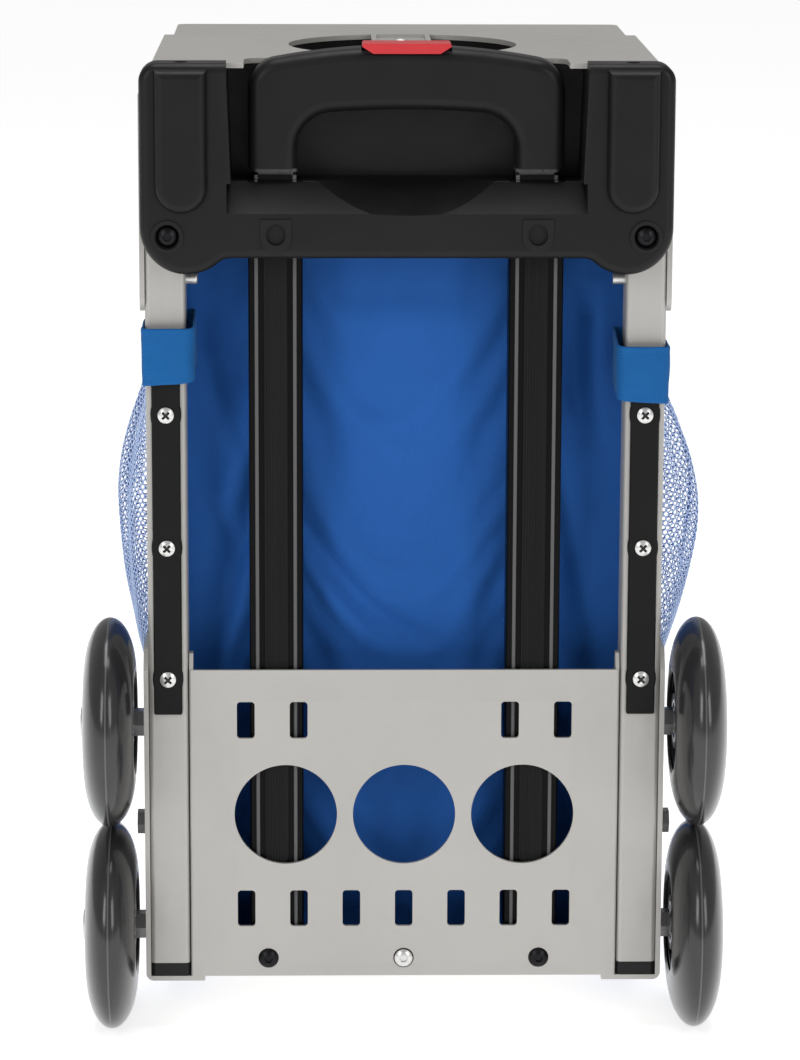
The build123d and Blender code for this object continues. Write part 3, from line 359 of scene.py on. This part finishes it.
def spaced(points, step):
    """The same line, with points evenly spaced along it."""
    lengths = [0.0]
    for a, b in zip(points, points[1:]):
        lengths.append(lengths[-1] + (b - a).length)
    count = max(2, round(lengths[-1] / step))
    out = []
    j = 0
    for k in range(count + 1):
        target = lengths[-1] * k / count
        while j < len(points) - 2 and lengths[j + 1] < target:
            j += 1
        span = lengths[j + 1] - lengths[j]
        t = (target - lengths[j]) / span if span else 0.0
        out.append(points[j].lerp(points[j + 1], min(max(t, 0.0), 1.0)))
    return out


def tube_along(name, points, radius, material, body="frame", closed=False, replaces=(), sides=8):
    """A round tube through points, as a mesh."""
    verts, faces = [], []
    count = len(points)
    up = Vector((0.31, 0.17, 0.93))
    for i, point in enumerate(points):
        ahead = points[(i + 1) % count] if closed or i < count - 1 else point
        back = points[i - 1] if closed or i > 0 else point
        along = (ahead - back).normalized()
        side = along.cross(up)
        if side.length < 0.1:
            side = along.cross(Vector((1, 0, 0)))
        side.normalize()
        over = side.cross(along)
        for k in range(sides):
            a = 2 * math.pi * k / sides
            verts.append(point + side * (radius * math.cos(a)) + over * (radius * math.sin(a)))
    rings = count if closed else count - 1
    for i in range(rings):
        for k in range(sides):
            a, b = i * sides + k, i * sides + (k + 1) % sides
            c, d = ((i + 1) % count) * sides + (k + 1) % sides, ((i + 1) % count) * sides + k
            faces.append((a, b, c, d))
    if not closed:
        faces.append(tuple(reversed(range(sides))))
        faces.append(tuple(range((count - 1) * sides, count * sides)))
    return new_piece(name, verts, faces, material, body, replaces)


def grid_faces(columns, rows):
    """Quads of a grid whose vertices run row by row."""
    return [
        (j * columns + i, j * columns + i + 1, (j + 1) * columns + i + 1, (j + 1) * columns + i)
        for j in range(rows - 1)
        for i in range(columns - 1)
    ]


# ---------------------------------------------------------------- camera
def add_camera():
    data = bpy.data.cameras.new("camera")
    data.lens = CAMERA_LENS
    data.sensor_width = 36.0
    data.clip_start = 0.1
    data.clip_end = 50.0
    camera = bpy.data.objects.new("camera", data)
    bpy.context.scene.collection.objects.link(camera)
    camera.location = CAMERA_AT
    camera.rotation_euler = [math.radians(turn) for turn in (90 - CAMERA_PITCH, CAMERA_ROLL, -CAMERA_YAW)]
    bpy.context.scene.camera = camera


CAMERA_LENS = 135.85
CAMERA_AT = (-0.045, -2.053, 0.678)
CAMERA_PITCH = 12.0
CAMERA_YAW = 1.2
CAMERA_ROLL = -0.2
add_camera()

# ---------------------------------------------------------------- bag
BACK_LOW, BACK_HIGH = (Vector(v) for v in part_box("bag_back"))
FRONT_LOW, FRONT_HIGH = (Vector(v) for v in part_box("bag_front"))
FLAP_LOW, FLAP_HIGH = (Vector(v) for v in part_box("bag_flap"))
FLAP_POCKET_LOW, FLAP_POCKET_HIGH = (Vector(v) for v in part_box("flap_pocket"))
BAG_Z = (BACK_LOW.z, BACK_HIGH.z)
BACK_Y = BACK_LOW.y
FRONT_Y = FRONT_HIGH.y
BACK_HALF = BACK_HIGH.x
NOSE_HALF = FRONT_HIGH.x
BEND_Y = 0.060              # where the bag's sides start to turn in
NOSE_Y = 0.099              # where they have reached the width of the front
BEND_R, NOSE_R, BACK_R = 0.04, 0.02, 0.012
CLOTH_T = 0.0012
CLOTH_STEP = 0.0042
TUBE_LOW, TUBE_HIGH = (Vector(v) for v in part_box("outer_tubes"))
HOUSING_LOW, HOUSING_HIGH = (Vector(v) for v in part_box("handle_housing"))
STRAP_LOW, STRAP_HIGH = (Vector(v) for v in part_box("post_strap_right"))
TUBE_HALF = (TUBE_HIGH.y - TUBE_LOW.y) / 2 + 0.0035     # the tubes are a little wider than deep
TUBE_X = TUBE_HIGH.x - TUBE_HALF
PIPING_R = 0.0016


def bag_plan(inset=0.0):
    """Plan of the bag's wrap, from one front corner round the back to the other."""
    wide, nose = BACK_HALF - inset, NOSE_HALF - inset
    right = [
        (nose, FRONT_Y - inset, 0),
        (nose, NOSE_Y, NOSE_R),
        (wide, BEND_Y, BEND_R),
        (wide, BACK_Y + inset, BACK_R),
    ]
    left = [(-x, y, r) for x, y, r in reversed(right)]
    return rounded_outline(right + left, CLOTH_STEP)


def simulate_slack(piece, pinned, slack, frames, cap):
    """Lets cloth hang between its pinned points, then keeps the shape. Nothing moves further than cap."""
    before = [v.co.copy() for v in piece.data.vertices]
    group = piece.vertex_groups.new(name="pin")
    group.add(pinned, 1.0, "REPLACE")
    cloth = piece.modifiers.new("Cloth", "CLOTH")
    settings = cloth.settings
    settings.quality = 6
    settings.mass = 0.15
    settings.tension_stiffness = 20
    settings.compression_stiffness = 20
    settings.bending_stiffness = 1.2
    settings.shrink_min = -slack
    settings.vertex_group_mass = "pin"
    cloth.collision_settings.use_collision = False
    cloth.collision_settings.use_self_collision = False
    scene = bpy.context.scene
    cloth.point_cache.frame_start = 1
    cloth.point_cache.frame_end = frames
    for step in range(1, frames + 1):
        scene.frame_set(step)
    graph = bpy.context.evaluated_depsgraph_get()
    moved = piece.evaluated_get(graph).to_mesh()
    places = [v.co.copy() for v in moved.vertices]
    piece.evaluated_get(graph).to_mesh_clear()
    piece.modifiers.remove(cloth)
    scene.frame_set(1)
    for vertex, start, end in zip(piece.data.vertices, before, places):
        shift = end - start
        if shift.length > cap:
            shift *= cap / shift.length
        vertex.co = start + shift


# Creases in the back: a line of (x, z) places, how wide, and how far they stand out (negative: sink in).
CREASES = [
    (((-0.051, 0.268), (-0.046, 0.254), (-0.034, 0.236), (-0.015, 0.216), (0.008, 0.203), (0.018, 0.200)),
     0.0060, -0.0062),
    (((-0.052, 0.250), (-0.038, 0.225), (-0.014, 0.203)), 0.0085, 0.0050),
    (((-0.047, 0.345), (-0.040, 0.290), (-0.030, 0.262)), 0.0090, -0.0024),
    (((0.046, 0.380), (0.038, 0.300), (0.028, 0.250)), 0.0100, -0.0026),
    (((0.049, 0.255), (0.034, 0.222), (0.020, 0.200)), 0.0080, 0.0026),
    (((-0.106, 0.392), (-0.094, 0.345), (-0.080, 0.300)), 0.0055, -0.0042),
    (((-0.104, 0.352), (-0.092, 0.310), (-0.082, 0.268)), 0.0075, 0.0038),
    (((-0.107, 0.300), (-0.092, 0.262), (-0.080, 0.228)), 0.0055, -0.0042),
    (((0.087, 0.400), (0.088, 0.328), (0.095, 0.298)), 0.0048, -0.0052),
    (((0.101, 0.395), (0.100, 0.340), (0.103, 0.300)), 0.0060, 0.0036),
    (((0.084, 0.250), (0.083, 0.190)), 0.0050, -0.0042),
    (((0.100, 0.270), (0.094, 0.215)), 0.0070, 0.0030),
]


def crease(x, z):
    """Sum of the creases at a place on the back."""
    here = Vector((x, z))
    height = 0.0
    for places, width, depth in CREASES:
        spots = [Vector(place) for place in places]
        whole = sum((b - a).length for a, b in zip(spots, spots[1:]))
        passed, nearest, along = 0.0, 1.0, 0.0
        for a, b in zip(spots, spots[1:]):
            run = b - a
            t = min(max((here - a).dot(run) / run.length_squared, 0.0), 1.0)
            away = (here - a - run * t).length
            if away < nearest:
                nearest, along = away, passed + t * run.length
            passed += run.length
        height += depth * math.sin(math.pi * along / whole) ** 0.5 * math.exp(-((nearest / width) ** 2))
    return height


def ramp(value, low, high):
    """0 below low, 1 above high, smooth between."""
    t = min(max((value - low) / (high - low), 0.0), 1.0)
    return t * t * (3 - 2 * t)


def back_swell(x, z):
    """How far the back stands out towards the handle: full between the tubes, folded beside them."""
    shown = ramp(z, BAG_Z[0], BAG_Z[0] + 0.05) * ramp(HOUSING_LOW.z - z, 0.0, 0.03)
    middle = TUBE_X - TUBE_HALF
    swell = 0.0065 * math.cos(math.pi / 2 * min(1.0, abs(x) / middle)) ** 0.7 if abs(x) < middle else 0.0
    folds = 0.0022 * noise.noise(Vector((x * 30, z * 6.0, 1.3)))
    folds += 0.0009 * noise.noise(Vector((x * 80, z * 22, 5.1)))
    return shown * (swell + folds + crease(x, z))


def side_swell(y, z, sign):
    """How far a side stands out, with long soft folds."""
    shown = ramp(z, BAG_Z[0], BAG_Z[0] + 0.04) * ramp(BAG_Z[1] - z, 0.0, 0.03)
    return shown * 0.0026 * noise.noise(Vector((y * 24, z * 7.0, 2.0 + sign)))


def build_wrap():
    """One continuous sheet round the bag's back and sides."""
    plan = bag_plan()
    rows = round((BAG_Z[1] - BAG_Z[0]) / CLOTH_STEP) + 1
    columns = len(plan)
    verts = []
    for j in range(rows):
        z = BAG_Z[0] + (BAG_Z[1] - BAG_Z[0]) * j / (rows - 1)
        for i, point in enumerate(plan):
            ahead = plan[min(i + 1, columns - 1)]
            before = plan[max(i - 1, 0)]
            out = Vector((-(ahead - before).y, (ahead - before).x)).normalized()
            if out.dot(point) < 0:
                out = -out
            if point.y < BACK_Y + 0.004:
                height = back_swell(point.x, z)
            else:
                height = side_swell(point.y, z, math.copysign(1, point.x))
            height *= min(1.0, min(i, columns - 1 - i) / 8.0)
            verts.append((point.x + out.x * height, point.y + out.y * height, z))
    wrap = new_piece("bag_wrap", verts, grid_faces(columns, rows), "bag_fabric",
                     replaces=("bag_back", "bag_side_left", "bag_side_right"))
    pinned = [
        j * columns + i
        for j in range(rows)
        for i in range(columns)
        if j in (0, rows - 1) or i in (0, columns - 1) or abs(abs(plan[i].x) - TUBE_X) < 0.004
    ]
    simulate_slack(wrap, pinned, 0.02, 20, 0.0045)
    keep_clear(wrap)
    add_modifier(wrap, "SUBSURF", levels=1, render_levels=1)
    add_modifier(wrap, "SOLIDIFY", thickness=CLOTH_T, offset=0.0)
    return wrap


def keep_clear(wrap):
    """Keeps the fabric off the tubes, the posts, the straps, the frame's plates and the housing."""
    gap = 0.0016
    for vertex in wrap.data.vertices:
        co = vertex.co
        wall = -0.080
        if abs(abs(co.x) - TUBE_X) < TUBE_HALF + 0.003:
            wall = TUBE_HIGH.y + gap
        if abs(co.x) > STRAP_LOW.x - 0.003:
            wall = STRAP_HIGH.y + gap
        if co.z > HOUSING_LOW.z - 0.008:
            wall = max(wall, HOUSING_HIGH.y + gap)
        co.y = max(co.y, wall)
        co.x = max(-0.1275, min(0.1275, co.x))


def panel(name, outline, z, lift, replaces):
    """A level fabric panel inside an outline, with soft puckers."""
    centre = Vector((0.0, (BACK_Y + FRONT_Y) / 2))
    rings = 9
    verts = []
    for ring in range(rings):
        scale = 1 - ring / rings
        for point in outline:
            spot = centre + (point - centre) * scale
            sag = lift * math.sin(math.pi * min(1.0, ring / (rings - 1)) / 2)
            pucker = 0.001 * noise.noise(Vector((spot.x * 30, spot.y * 30, z)))
            verts.append((spot.x, spot.y, z + sag + pucker))
    count = len(outline)
    faces = []
    for ring in range(rings - 1):
        for i in range(count):
            j = (i + 1) % count
            faces.append((ring * count + i, ring * count + j, (ring + 1) * count + j, (ring + 1) * count + i))
    faces.append(tuple((rings - 1) * count + i for i in range(count)))
    made = new_piece(name, verts, faces, "bag_fabric", replaces=replaces)
    add_modifier(made, "SOLIDIFY", thickness=CLOTH_T, offset=0.0)
    return made


def build_bag():
    wrap = build_wrap()
    inside = bag_plan(0.0012)
    closed = inside + spaced([inside[-1], inside[0]], CLOTH_STEP)[1:-1]
    panel("bag_floor_cloth", closed, BAG_Z[0] + 0.0012, 0.0, ("bag_floor",))
    panel("bag_top_cloth", closed, BAG_Z[1] - 0.0012, -0.002, ("bag_top",))
    for level, z in (("bottom", BAG_Z[0] + 0.0022), ("top", BAG_Z[1] - 0.0022)):
        edge = [Vector((p.x, p.y, z)) for p in bag_plan(-0.0002)]
        tube_along(f"piping_{level}", edge, PIPING_R, "piping")
    return wrap


def rounded_rectangle(half, low, high, radius, step):
    """Points round an upright rectangle in X and Z, its corners rounded."""
    corners = [
        (0, low, 0),
        (half, low, radius),
        (half, high, radius),
        (-half, high, radius),
        (-half, low, radius),
        (0, low, 0),
    ]
    return rounded_outline(corners, step)[:-1]


FLAP_OPEN_INSET = 0.008
FLAP_R = 0.034


def build_front():
    """Front panel with its door opening, and piping at its corners."""
    rim_outer = rounded_rectangle(NOSE_HALF, BAG_Z[0], BAG_Z[1], 0.004, 0.006)
    half = FLAP_HIGH.x - FLAP_OPEN_INSET
    low, high = FLAP_LOW.z + FLAP_OPEN_INSET, FLAP_HIGH.z - FLAP_OPEN_INSET
    rim_inner = rounded_rectangle(half, low, high, 0.03, 0.006)
    count = 240
    outer = resample_closed(rim_outer, count)
    inner = resample_closed(rim_inner, count)
    rings = 6
    verts = []
    y_middle = (FRONT_LOW.y + FRONT_HIGH.y) / 2
    for ring in range(rings):
        t = ring / (rings - 1)
        for a, b in zip(outer, inner):
            spot = a.lerp(b, t)
            puff = 0.0008 * math.sin(math.pi * t) * noise.noise(Vector((spot.x * 60, spot.y * 40, 0)))
            verts.append((spot.x, y_middle + puff, spot.y))
    faces = []
    for ring in range(rings - 1):
        for i in range(count):
            j = (i + 1) % count
            faces.append((ring * count + i, (ring + 1) * count + i, (ring + 1) * count + j, ring * count + j))
    made = new_piece("bag_front_cloth", verts, faces, "bag_fabric", replaces=("bag_front",))
    add_modifier(made, "SOLIDIFY", thickness=CLOTH_T, offset=0.0)
    for side, sign in SIDES.items():
        x, y = sign * (NOSE_HALF - 0.0006), FRONT_HIGH.y - 0.0006
        edge = [Vector((x, y, BAG_Z[0] + 0.006 * k)) for k in range(72)]
        tube_along(f"piping_front_{side}", edge, PIPING_R, "piping")
    tape = [Vector((p.x, FRONT_HIGH.y - 0.0002, p.y)) for p in resample_closed(rim_inner, 300)]
    build_teeth("zip_teeth_fixed", tape, "frame")


def resample_closed(points, count):
    """A closed line with a set number of evenly spaced points."""
    ring = points + [points[0]]
    length = sum((b - a).length for a, b in zip(ring, ring[1:]))
    return spaced(ring, length / count)[:count]


TOOTH_FACES = ((0, 1, 2, 3), (7, 6, 5, 4), (0, 4, 5, 1), (1, 5, 6, 2), (2, 6, 7, 3), (3, 7, 4, 0))


def build_teeth(name, line, body):
    """Zip teeth: one small block per point of a closed line in the front plane."""
    verts, faces = [], []
    count = len(line)
    for i, centre in enumerate(line):
        along = (line[(i + 1) % count] - line[i - 1]).normalized()
        across = along.cross(Vector((0, 1, 0))).normalized()
        base = len(verts)
        for dz in (-0.0011, 0.0011):
            for dx, dy in ((-0.0005, -0.0002), (0.0005, -0.0002), (0.0005, 0.0009), (-0.0005, 0.0009)):
                verts.append(centre + along * dx + across * dz + Vector((0, dy, 0)))
        faces += [tuple(base + k for k in face) for face in TOOTH_FACES]
    return new_piece(name, verts, faces, "zip_pull", body, smooth=False)


def cushion_face(name, outline, y_back, y_front, crown, material, body, replaces, seams=()):
    """A soft upright panel: a crowned face towards +Y, rolled edges, and pressed seams at given insets."""
    count = len(outline)
    centre = Vector((sum(p.x for p in outline) / count, sum(p.y for p in outline) / count))
    rings = 22
    verts = []
    depth = y_front - y_back
    for ring in range(rings):
        t = ring / (rings - 1)
        scale = 1 - 0.97 * t
        for point in outline:
            spot = centre + (point - centre) * scale
            rise = depth * min(1.0, math.sin(math.pi / 2 * min(1.0, t * 12)))
            lump = 1 + 0.5 * noise.noise(Vector((spot.x * 22, spot.y * 14, 1.9)))
            puff = crown * math.sin(math.pi / 2 * t) * lump
            dent = sum(0.0009 * math.exp(-((t - s) / 0.025) ** 2) for s in seams)
            verts.append((spot.x, y_back + rise + puff - dent, spot.y))
    base = len(verts)
    for point in outline:
        verts.append((point.x, y_back, point.y))
    faces = []
    for ring in range(rings - 1):
        for i in range(count):
            j = (i + 1) % count
            faces.append((ring * count + i, (ring + 1) * count + i, (ring + 1) * count + j, ring * count + j))
    faces.append(tuple(reversed([(rings - 1) * count + i for i in range(count)])))
    faces.append(tuple(base + i for i in range(count)))
    for i in range(count):
        j = (i + 1) % count
        faces.append((base + i, i, j, base + j))
    made = new_piece(name, verts, faces, material, body, replaces=replaces)
    add_modifier(made, "SUBSURF", levels=1, render_levels=1)
    return made


def build_flap():
    """The door of the bag: padded panel, pocket, piping and the pocket's zip teeth."""
    outline = rounded_rectangle(FLAP_HIGH.x, FLAP_LOW.z, FLAP_HIGH.z, FLAP_R, 0.006)
    cushion_face("flap_panel", outline, FLAP_LOW.y, FLAP_HIGH.y - 0.0008, 0.0022, "bag_fabric", "bag_flap",
                 ("bag_flap",), seams=(0.07,))
    edge = [Vector((p.x, FLAP_HIGH.y - 0.0012, p.y)) for p in outline]
    tube_along("flap_piping", edge, PIPING_R, "piping", "bag_flap", closed=True)
    low, high = FLAP_POCKET_LOW, FLAP_POCKET_HIGH
    pocket = rounded_rectangle(high.x, low.z, high.z, 0.014, 0.005)
    middle = (low.z + high.z) / 2
    pocket = [Vector((p.x, p.y - middle)) for p in pocket]
    raised = cushion_face("flap_pocket_cloth", [Vector((p.x, p.y + middle)) for p in pocket],
                          low.y, high.y - 0.0035, 0.0028, "bag_fabric", "bag_flap",
                          ("flap_pocket",), seams=(0.09,))
    seam = [Vector((p.x * 0.985, high.y - 0.0036, middle + p.y * 0.985)) for p in pocket]
    tube_along("flap_pocket_piping", seam, 0.0013, "piping", "bag_flap", closed=True)
    zip_line = [
        Vector((x * high.x * 0.84, high.y - 0.0012, high.z - 0.022)) for x in [k / 40 - 1 for k in range(81)]
    ]
    build_open_teeth("flap_pocket_teeth", zip_line, "bag_flap")
    return raised


def build_open_teeth(name, line, body):
    """Zip teeth along an open level line."""
    verts, faces = [], []
    for centre in line:
        base = len(verts)
        for dz in (-0.0013, 0.0013):
            for dx, dy in ((-0.0004, -0.0006), (0.0004, -0.0006), (0.0004, 0.0006), (-0.0004, 0.0006)):
                verts.append(centre + Vector((dx, dy, dz)))
        faces += [tuple(base + k for k in face) for face in TOOTH_FACES]
    return new_piece(name, verts, faces, "zip_pull", body, smooth=False)


build_bag()
build_front()
build_flap()


# ---------------------------------------------------------------- straps
def build_strap(side, sign):
    """Soft fabric loop round a rear post, slack on its inner side, where its far half rides up."""
    low, high = (Vector(v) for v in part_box(f"post_strap_{side}"))
    middle = Vector(((low.x + high.x) / 2, (low.y + high.y) / 2))
    half_x, half_y = (high.x - low.x) / 2 - 0.0006, (high.y - low.y) / 2 - 0.0006
    at_plus, at_minus = (0.003, 0.0055) if sign > 0 else (0.0055, 0.003)
    corners = [(0, -half_y, 0), (half_x, -half_y, at_plus), (half_x, half_y, at_plus),
               (-half_x, half_y, at_minus), (-half_x, -half_y, at_minus), (0, -half_y, 0)]
    ring = rounded_outline(corners, 0.0016)[:-1]
    rows = 18
    verts = []
    for j in range(rows):
        t = j / (rows - 1)
        z = low.z + (high.z - low.z) * t
        hem = math.exp(-((t - 0.12) / 0.05) ** 2) + math.exp(-((t - 0.88) / 0.05) ** 2)
        for p in ring:
            inner = max(0.0, 0.5 - 0.5 * sign * p.x / half_x)
            far = 0.5 + 0.5 * p.y / half_y
            tuck = 1 - 0.012 * (1 - t) - 0.012 * hem
            wave = 0.0005 * noise.noise(Vector((inner * 4, far * 4, t * 3 + sign)))
            lift = 0.006 * inner ** 1.5 * far + 0.0016 * inner * (1 - t)
            spot = p * tuck
            verts.append((middle.x + spot.x + wave, middle.y + spot.y - wave, z + lift))
    count = len(ring)
    faces = []
    for j in range(rows - 1):
        for i in range(count):
            k = (i + 1) % count
            faces.append((j * count + i, j * count + k, (j + 1) * count + k, (j + 1) * count + i))
    strap = new_piece(f"strap_{side}", verts, faces, "strap_web", replaces=(f"post_strap_{side}",))
    add_modifier(strap, "SOLIDIFY", thickness=0.0012, offset=-1.0)
    add_modifier(strap, "SUBSURF", levels=1, render_levels=1)


for side_name, side_sign in SIDES.items():
    build_strap(side_name, side_sign)

# ---------------------------------------------------------------- mesh pockets
NET_PITCH = 0.0032
STRAND_R = 0.00042
FULLEST = 0.57              # how far up the pocket its widest place is


def pocket_point(low, high, sign, u, v):
    """A place on the bulging pocket: u across from back to front, v from its foot to its mouth."""
    y = low.y + (high.y - low.y) * u
    z = low.z + (high.z - low.z) * v
    across = math.sin(math.pi * min(max(u, 0), 1)) ** 0.5
    if v < FULLEST:
        upright = 0.35 + 0.65 * math.sin(math.pi / 2 * v / FULLEST) ** 0.75
    else:
        upright = 1 - 0.8 * ((v - FULLEST) / (1 - FULLEST)) ** 1.7
    inner = BACK_HALF + 0.0015 - max(0.0, y - BEND_Y) * 0.8
    lump = 1 + 0.06 * noise.noise(Vector((u * 4.1 + 3 * sign, v * 4.3, 0.4)))
    fold = 0.0016 * math.sin(u * 17 + 2.0 * v + sign) * ramp(v, 0.1, 0.5) * across
    x = inner + (high.x - low.x - 0.002) * across * upright * lump + fold
    return Vector((sign * x, y, z))


def build_pocket(side, sign):
    """Open net: a hexagonal mesh of thin strands over the bulge, with hems round its edge."""
    low, high = (Vector(v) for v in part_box(f"mesh_pocket_{side}"))
    width, height = high.y - low.y, high.z - low.z
    spread = 1.45
    columns = int(width * spread / NET_PITCH)
    rows = int(height * 1.15 / (NET_PITCH * 0.86))
    spots = {}
    verts, edges = [], []

    def corner(i, j):
        if (i, j) not in spots:
            shift = 0.25 if (i + j) % 2 else -0.25
            u = min(max(i / columns, 0.0), 1.0)
            v = min(max((j + shift * 0.7) / rows, 0.0), 1.0)
            wobble = 0.12 * noise.noise(Vector((i * 0.7, j * 0.7, 2.0 + sign)))
            u = min(max(u + wobble / columns, 0.0), 1.0)
            spots[i, j] = len(verts)
            verts.append(pocket_point(low, high, sign, ease(u), v))
        return spots[i, j]

    for j in range(rows + 1):
        for i in range(columns):
            edges.append((corner(i, j), corner(i + 1, j)))
    for j in range(rows):
        for i in range(columns + 1):
            if (i + j) % 2:
                edges.append((corner(i, j), corner(i, j + 1)))
    strands = strand_mesh(f"net_{side}", verts, edges, STRAND_R, "pocket_mesh", (f"mesh_pocket_{side}",))
    mouth = [pocket_point(low, high, sign, ease(k / 60), 1.0) for k in range(61)]
    hem = tube_along(f"pocket_hem_{side}", mouth, 0.0022, "strap_web")
    rim = [pocket_point(low, high, sign, 0.0, k / 30) for k in range(30, -1, -1)]
    rim += [pocket_point(low, high, sign, ease(k / 40), 0.0) for k in range(1, 40)]
    rim += [pocket_point(low, high, sign, 1.0, k / 30) for k in range(31)]
    seam = tube_along(f"pocket_seam_{side}", rim, 0.0014, "piping")
    across = path_length([pocket_point(low, high, sign, k / 40, FULLEST) for k in range(41)])
    along = path_length([pocket_point(low, high, sign, 0.5, k / 40) for k in range(41)])
    return strands


def path_length(places):
    return sum((b - a).length for a, b in zip(places, places[1:]))


def ease(u):
    """Spreads the net's cells over the steep sides of the bulge."""
    return 0.5 - 0.5 * math.cos(math.pi * (0.08 + 0.84 * u)) if 0 < u < 1 else u


def strand_mesh(name, points, edges, radius, material, replaces):
    """Every edge as a thin three-sided strand."""
    verts, faces = [], []
    for a, b in edges:
        start, end = points[a], points[b]
        along = end - start
        if along.length < 1e-5:
            continue
        along.normalize()
        side = along.cross(Vector((0.3, 0.9, 0.2))).normalized()
        over = side.cross(along)
        base = len(verts)
        for spot in (start - along * radius * 0.4, end + along * radius * 0.4):
            for k in range(4):
                angle = math.pi / 2 * k
                verts.append(spot + side * (radius * math.cos(angle)) + over * (radius * math.sin(angle)))
        for k in range(4):
            n = (k + 1) % 4
            faces.append((base + k, base + n, base + 4 + n, base + 4 + k))
        faces.append((base + 3, base + 2, base + 1, base))
        faces.append((base + 4, base + 5, base + 6, base + 7))
    return new_piece(name, verts, faces, material, replaces=replaces)


for side_name, side_sign in SIDES.items():
    build_pocket(side_name, side_sign)


# ---------------------------------------------------------------- stage and light
def add_floor():
    size = 14.0
    mesh = bpy.data.meshes.new("floor")
    corners = [(-size, -size, 0), (size, -size, 0), (size, size, 0), (-size, size, 0)]
    mesh.from_pydata(corners, [], [(0, 1, 2, 3)])
    floor = bpy.data.objects.new("floor", mesh)
    bpy.context.scene.collection.objects.link(floor)
    m = Shader("floor")
    pale = m.ramp(m.noise(0.6), (0.3, srgb(238, 238, 238)), (0.7, srgb(242, 242, 242)))
    m.set(Base_Color=pale, Roughness=0.8)
    m.set(Emission_Color=(1, 1, 1, 1), Emission_Strength=0.66)
    floor.data.materials.append(m.material)


def add_area(name, place, target, size, power):
    data = bpy.data.lights.new(name, "AREA")
    data.shape = "RECTANGLE"
    data.size, data.size_y = size
    data.energy = power
    light = bpy.data.objects.new(name, data)
    bpy.context.scene.collection.objects.link(light)
    light.location = place
    light.rotation_euler = (Vector(target) - Vector(place)).to_track_quat("-Z", "Y").to_euler()


def add_world():
    world = bpy.data.worlds.new("world")
    world.use_nodes = True
    tree = world.node_tree
    soft = tree.nodes["Background"]
    soft.inputs["Color"].default_value = (1, 1, 1, 1)
    soft.inputs["Strength"].default_value = 0.34
    seen = tree.nodes.new("ShaderNodeBackground")
    seen.inputs["Color"].default_value = (1, 1, 1, 1)
    seen.inputs["Strength"].default_value = 1.0
    path = tree.nodes.new("ShaderNodeLightPath")
    both = tree.nodes.new("ShaderNodeMixShader")
    tree.links.new(path.outputs["Is Camera Ray"], both.inputs[0])
    tree.links.new(soft.outputs[0], both.inputs[1])
    tree.links.new(seen.outputs[0], both.inputs[2])
    tree.links.new(both.outputs[0], tree.nodes["World Output"].inputs["Surface"])
    bpy.context.scene.world = world


add_floor()
add_world()
add_area("key", (-1.7, -2.3, 1.5), (0, 0, 0.25), (0.9, 1.6), 23)
add_area("fill", (1.8, -2.2, 1.3), (0, 0, 0.25), (0.9, 1.6), 19)
add_area("top", (0, 0.1, 2.4), (0, 0, 0.3), (1.4, 1.4), 24)
bpy.context.scene.view_settings.view_transform = "Standard"
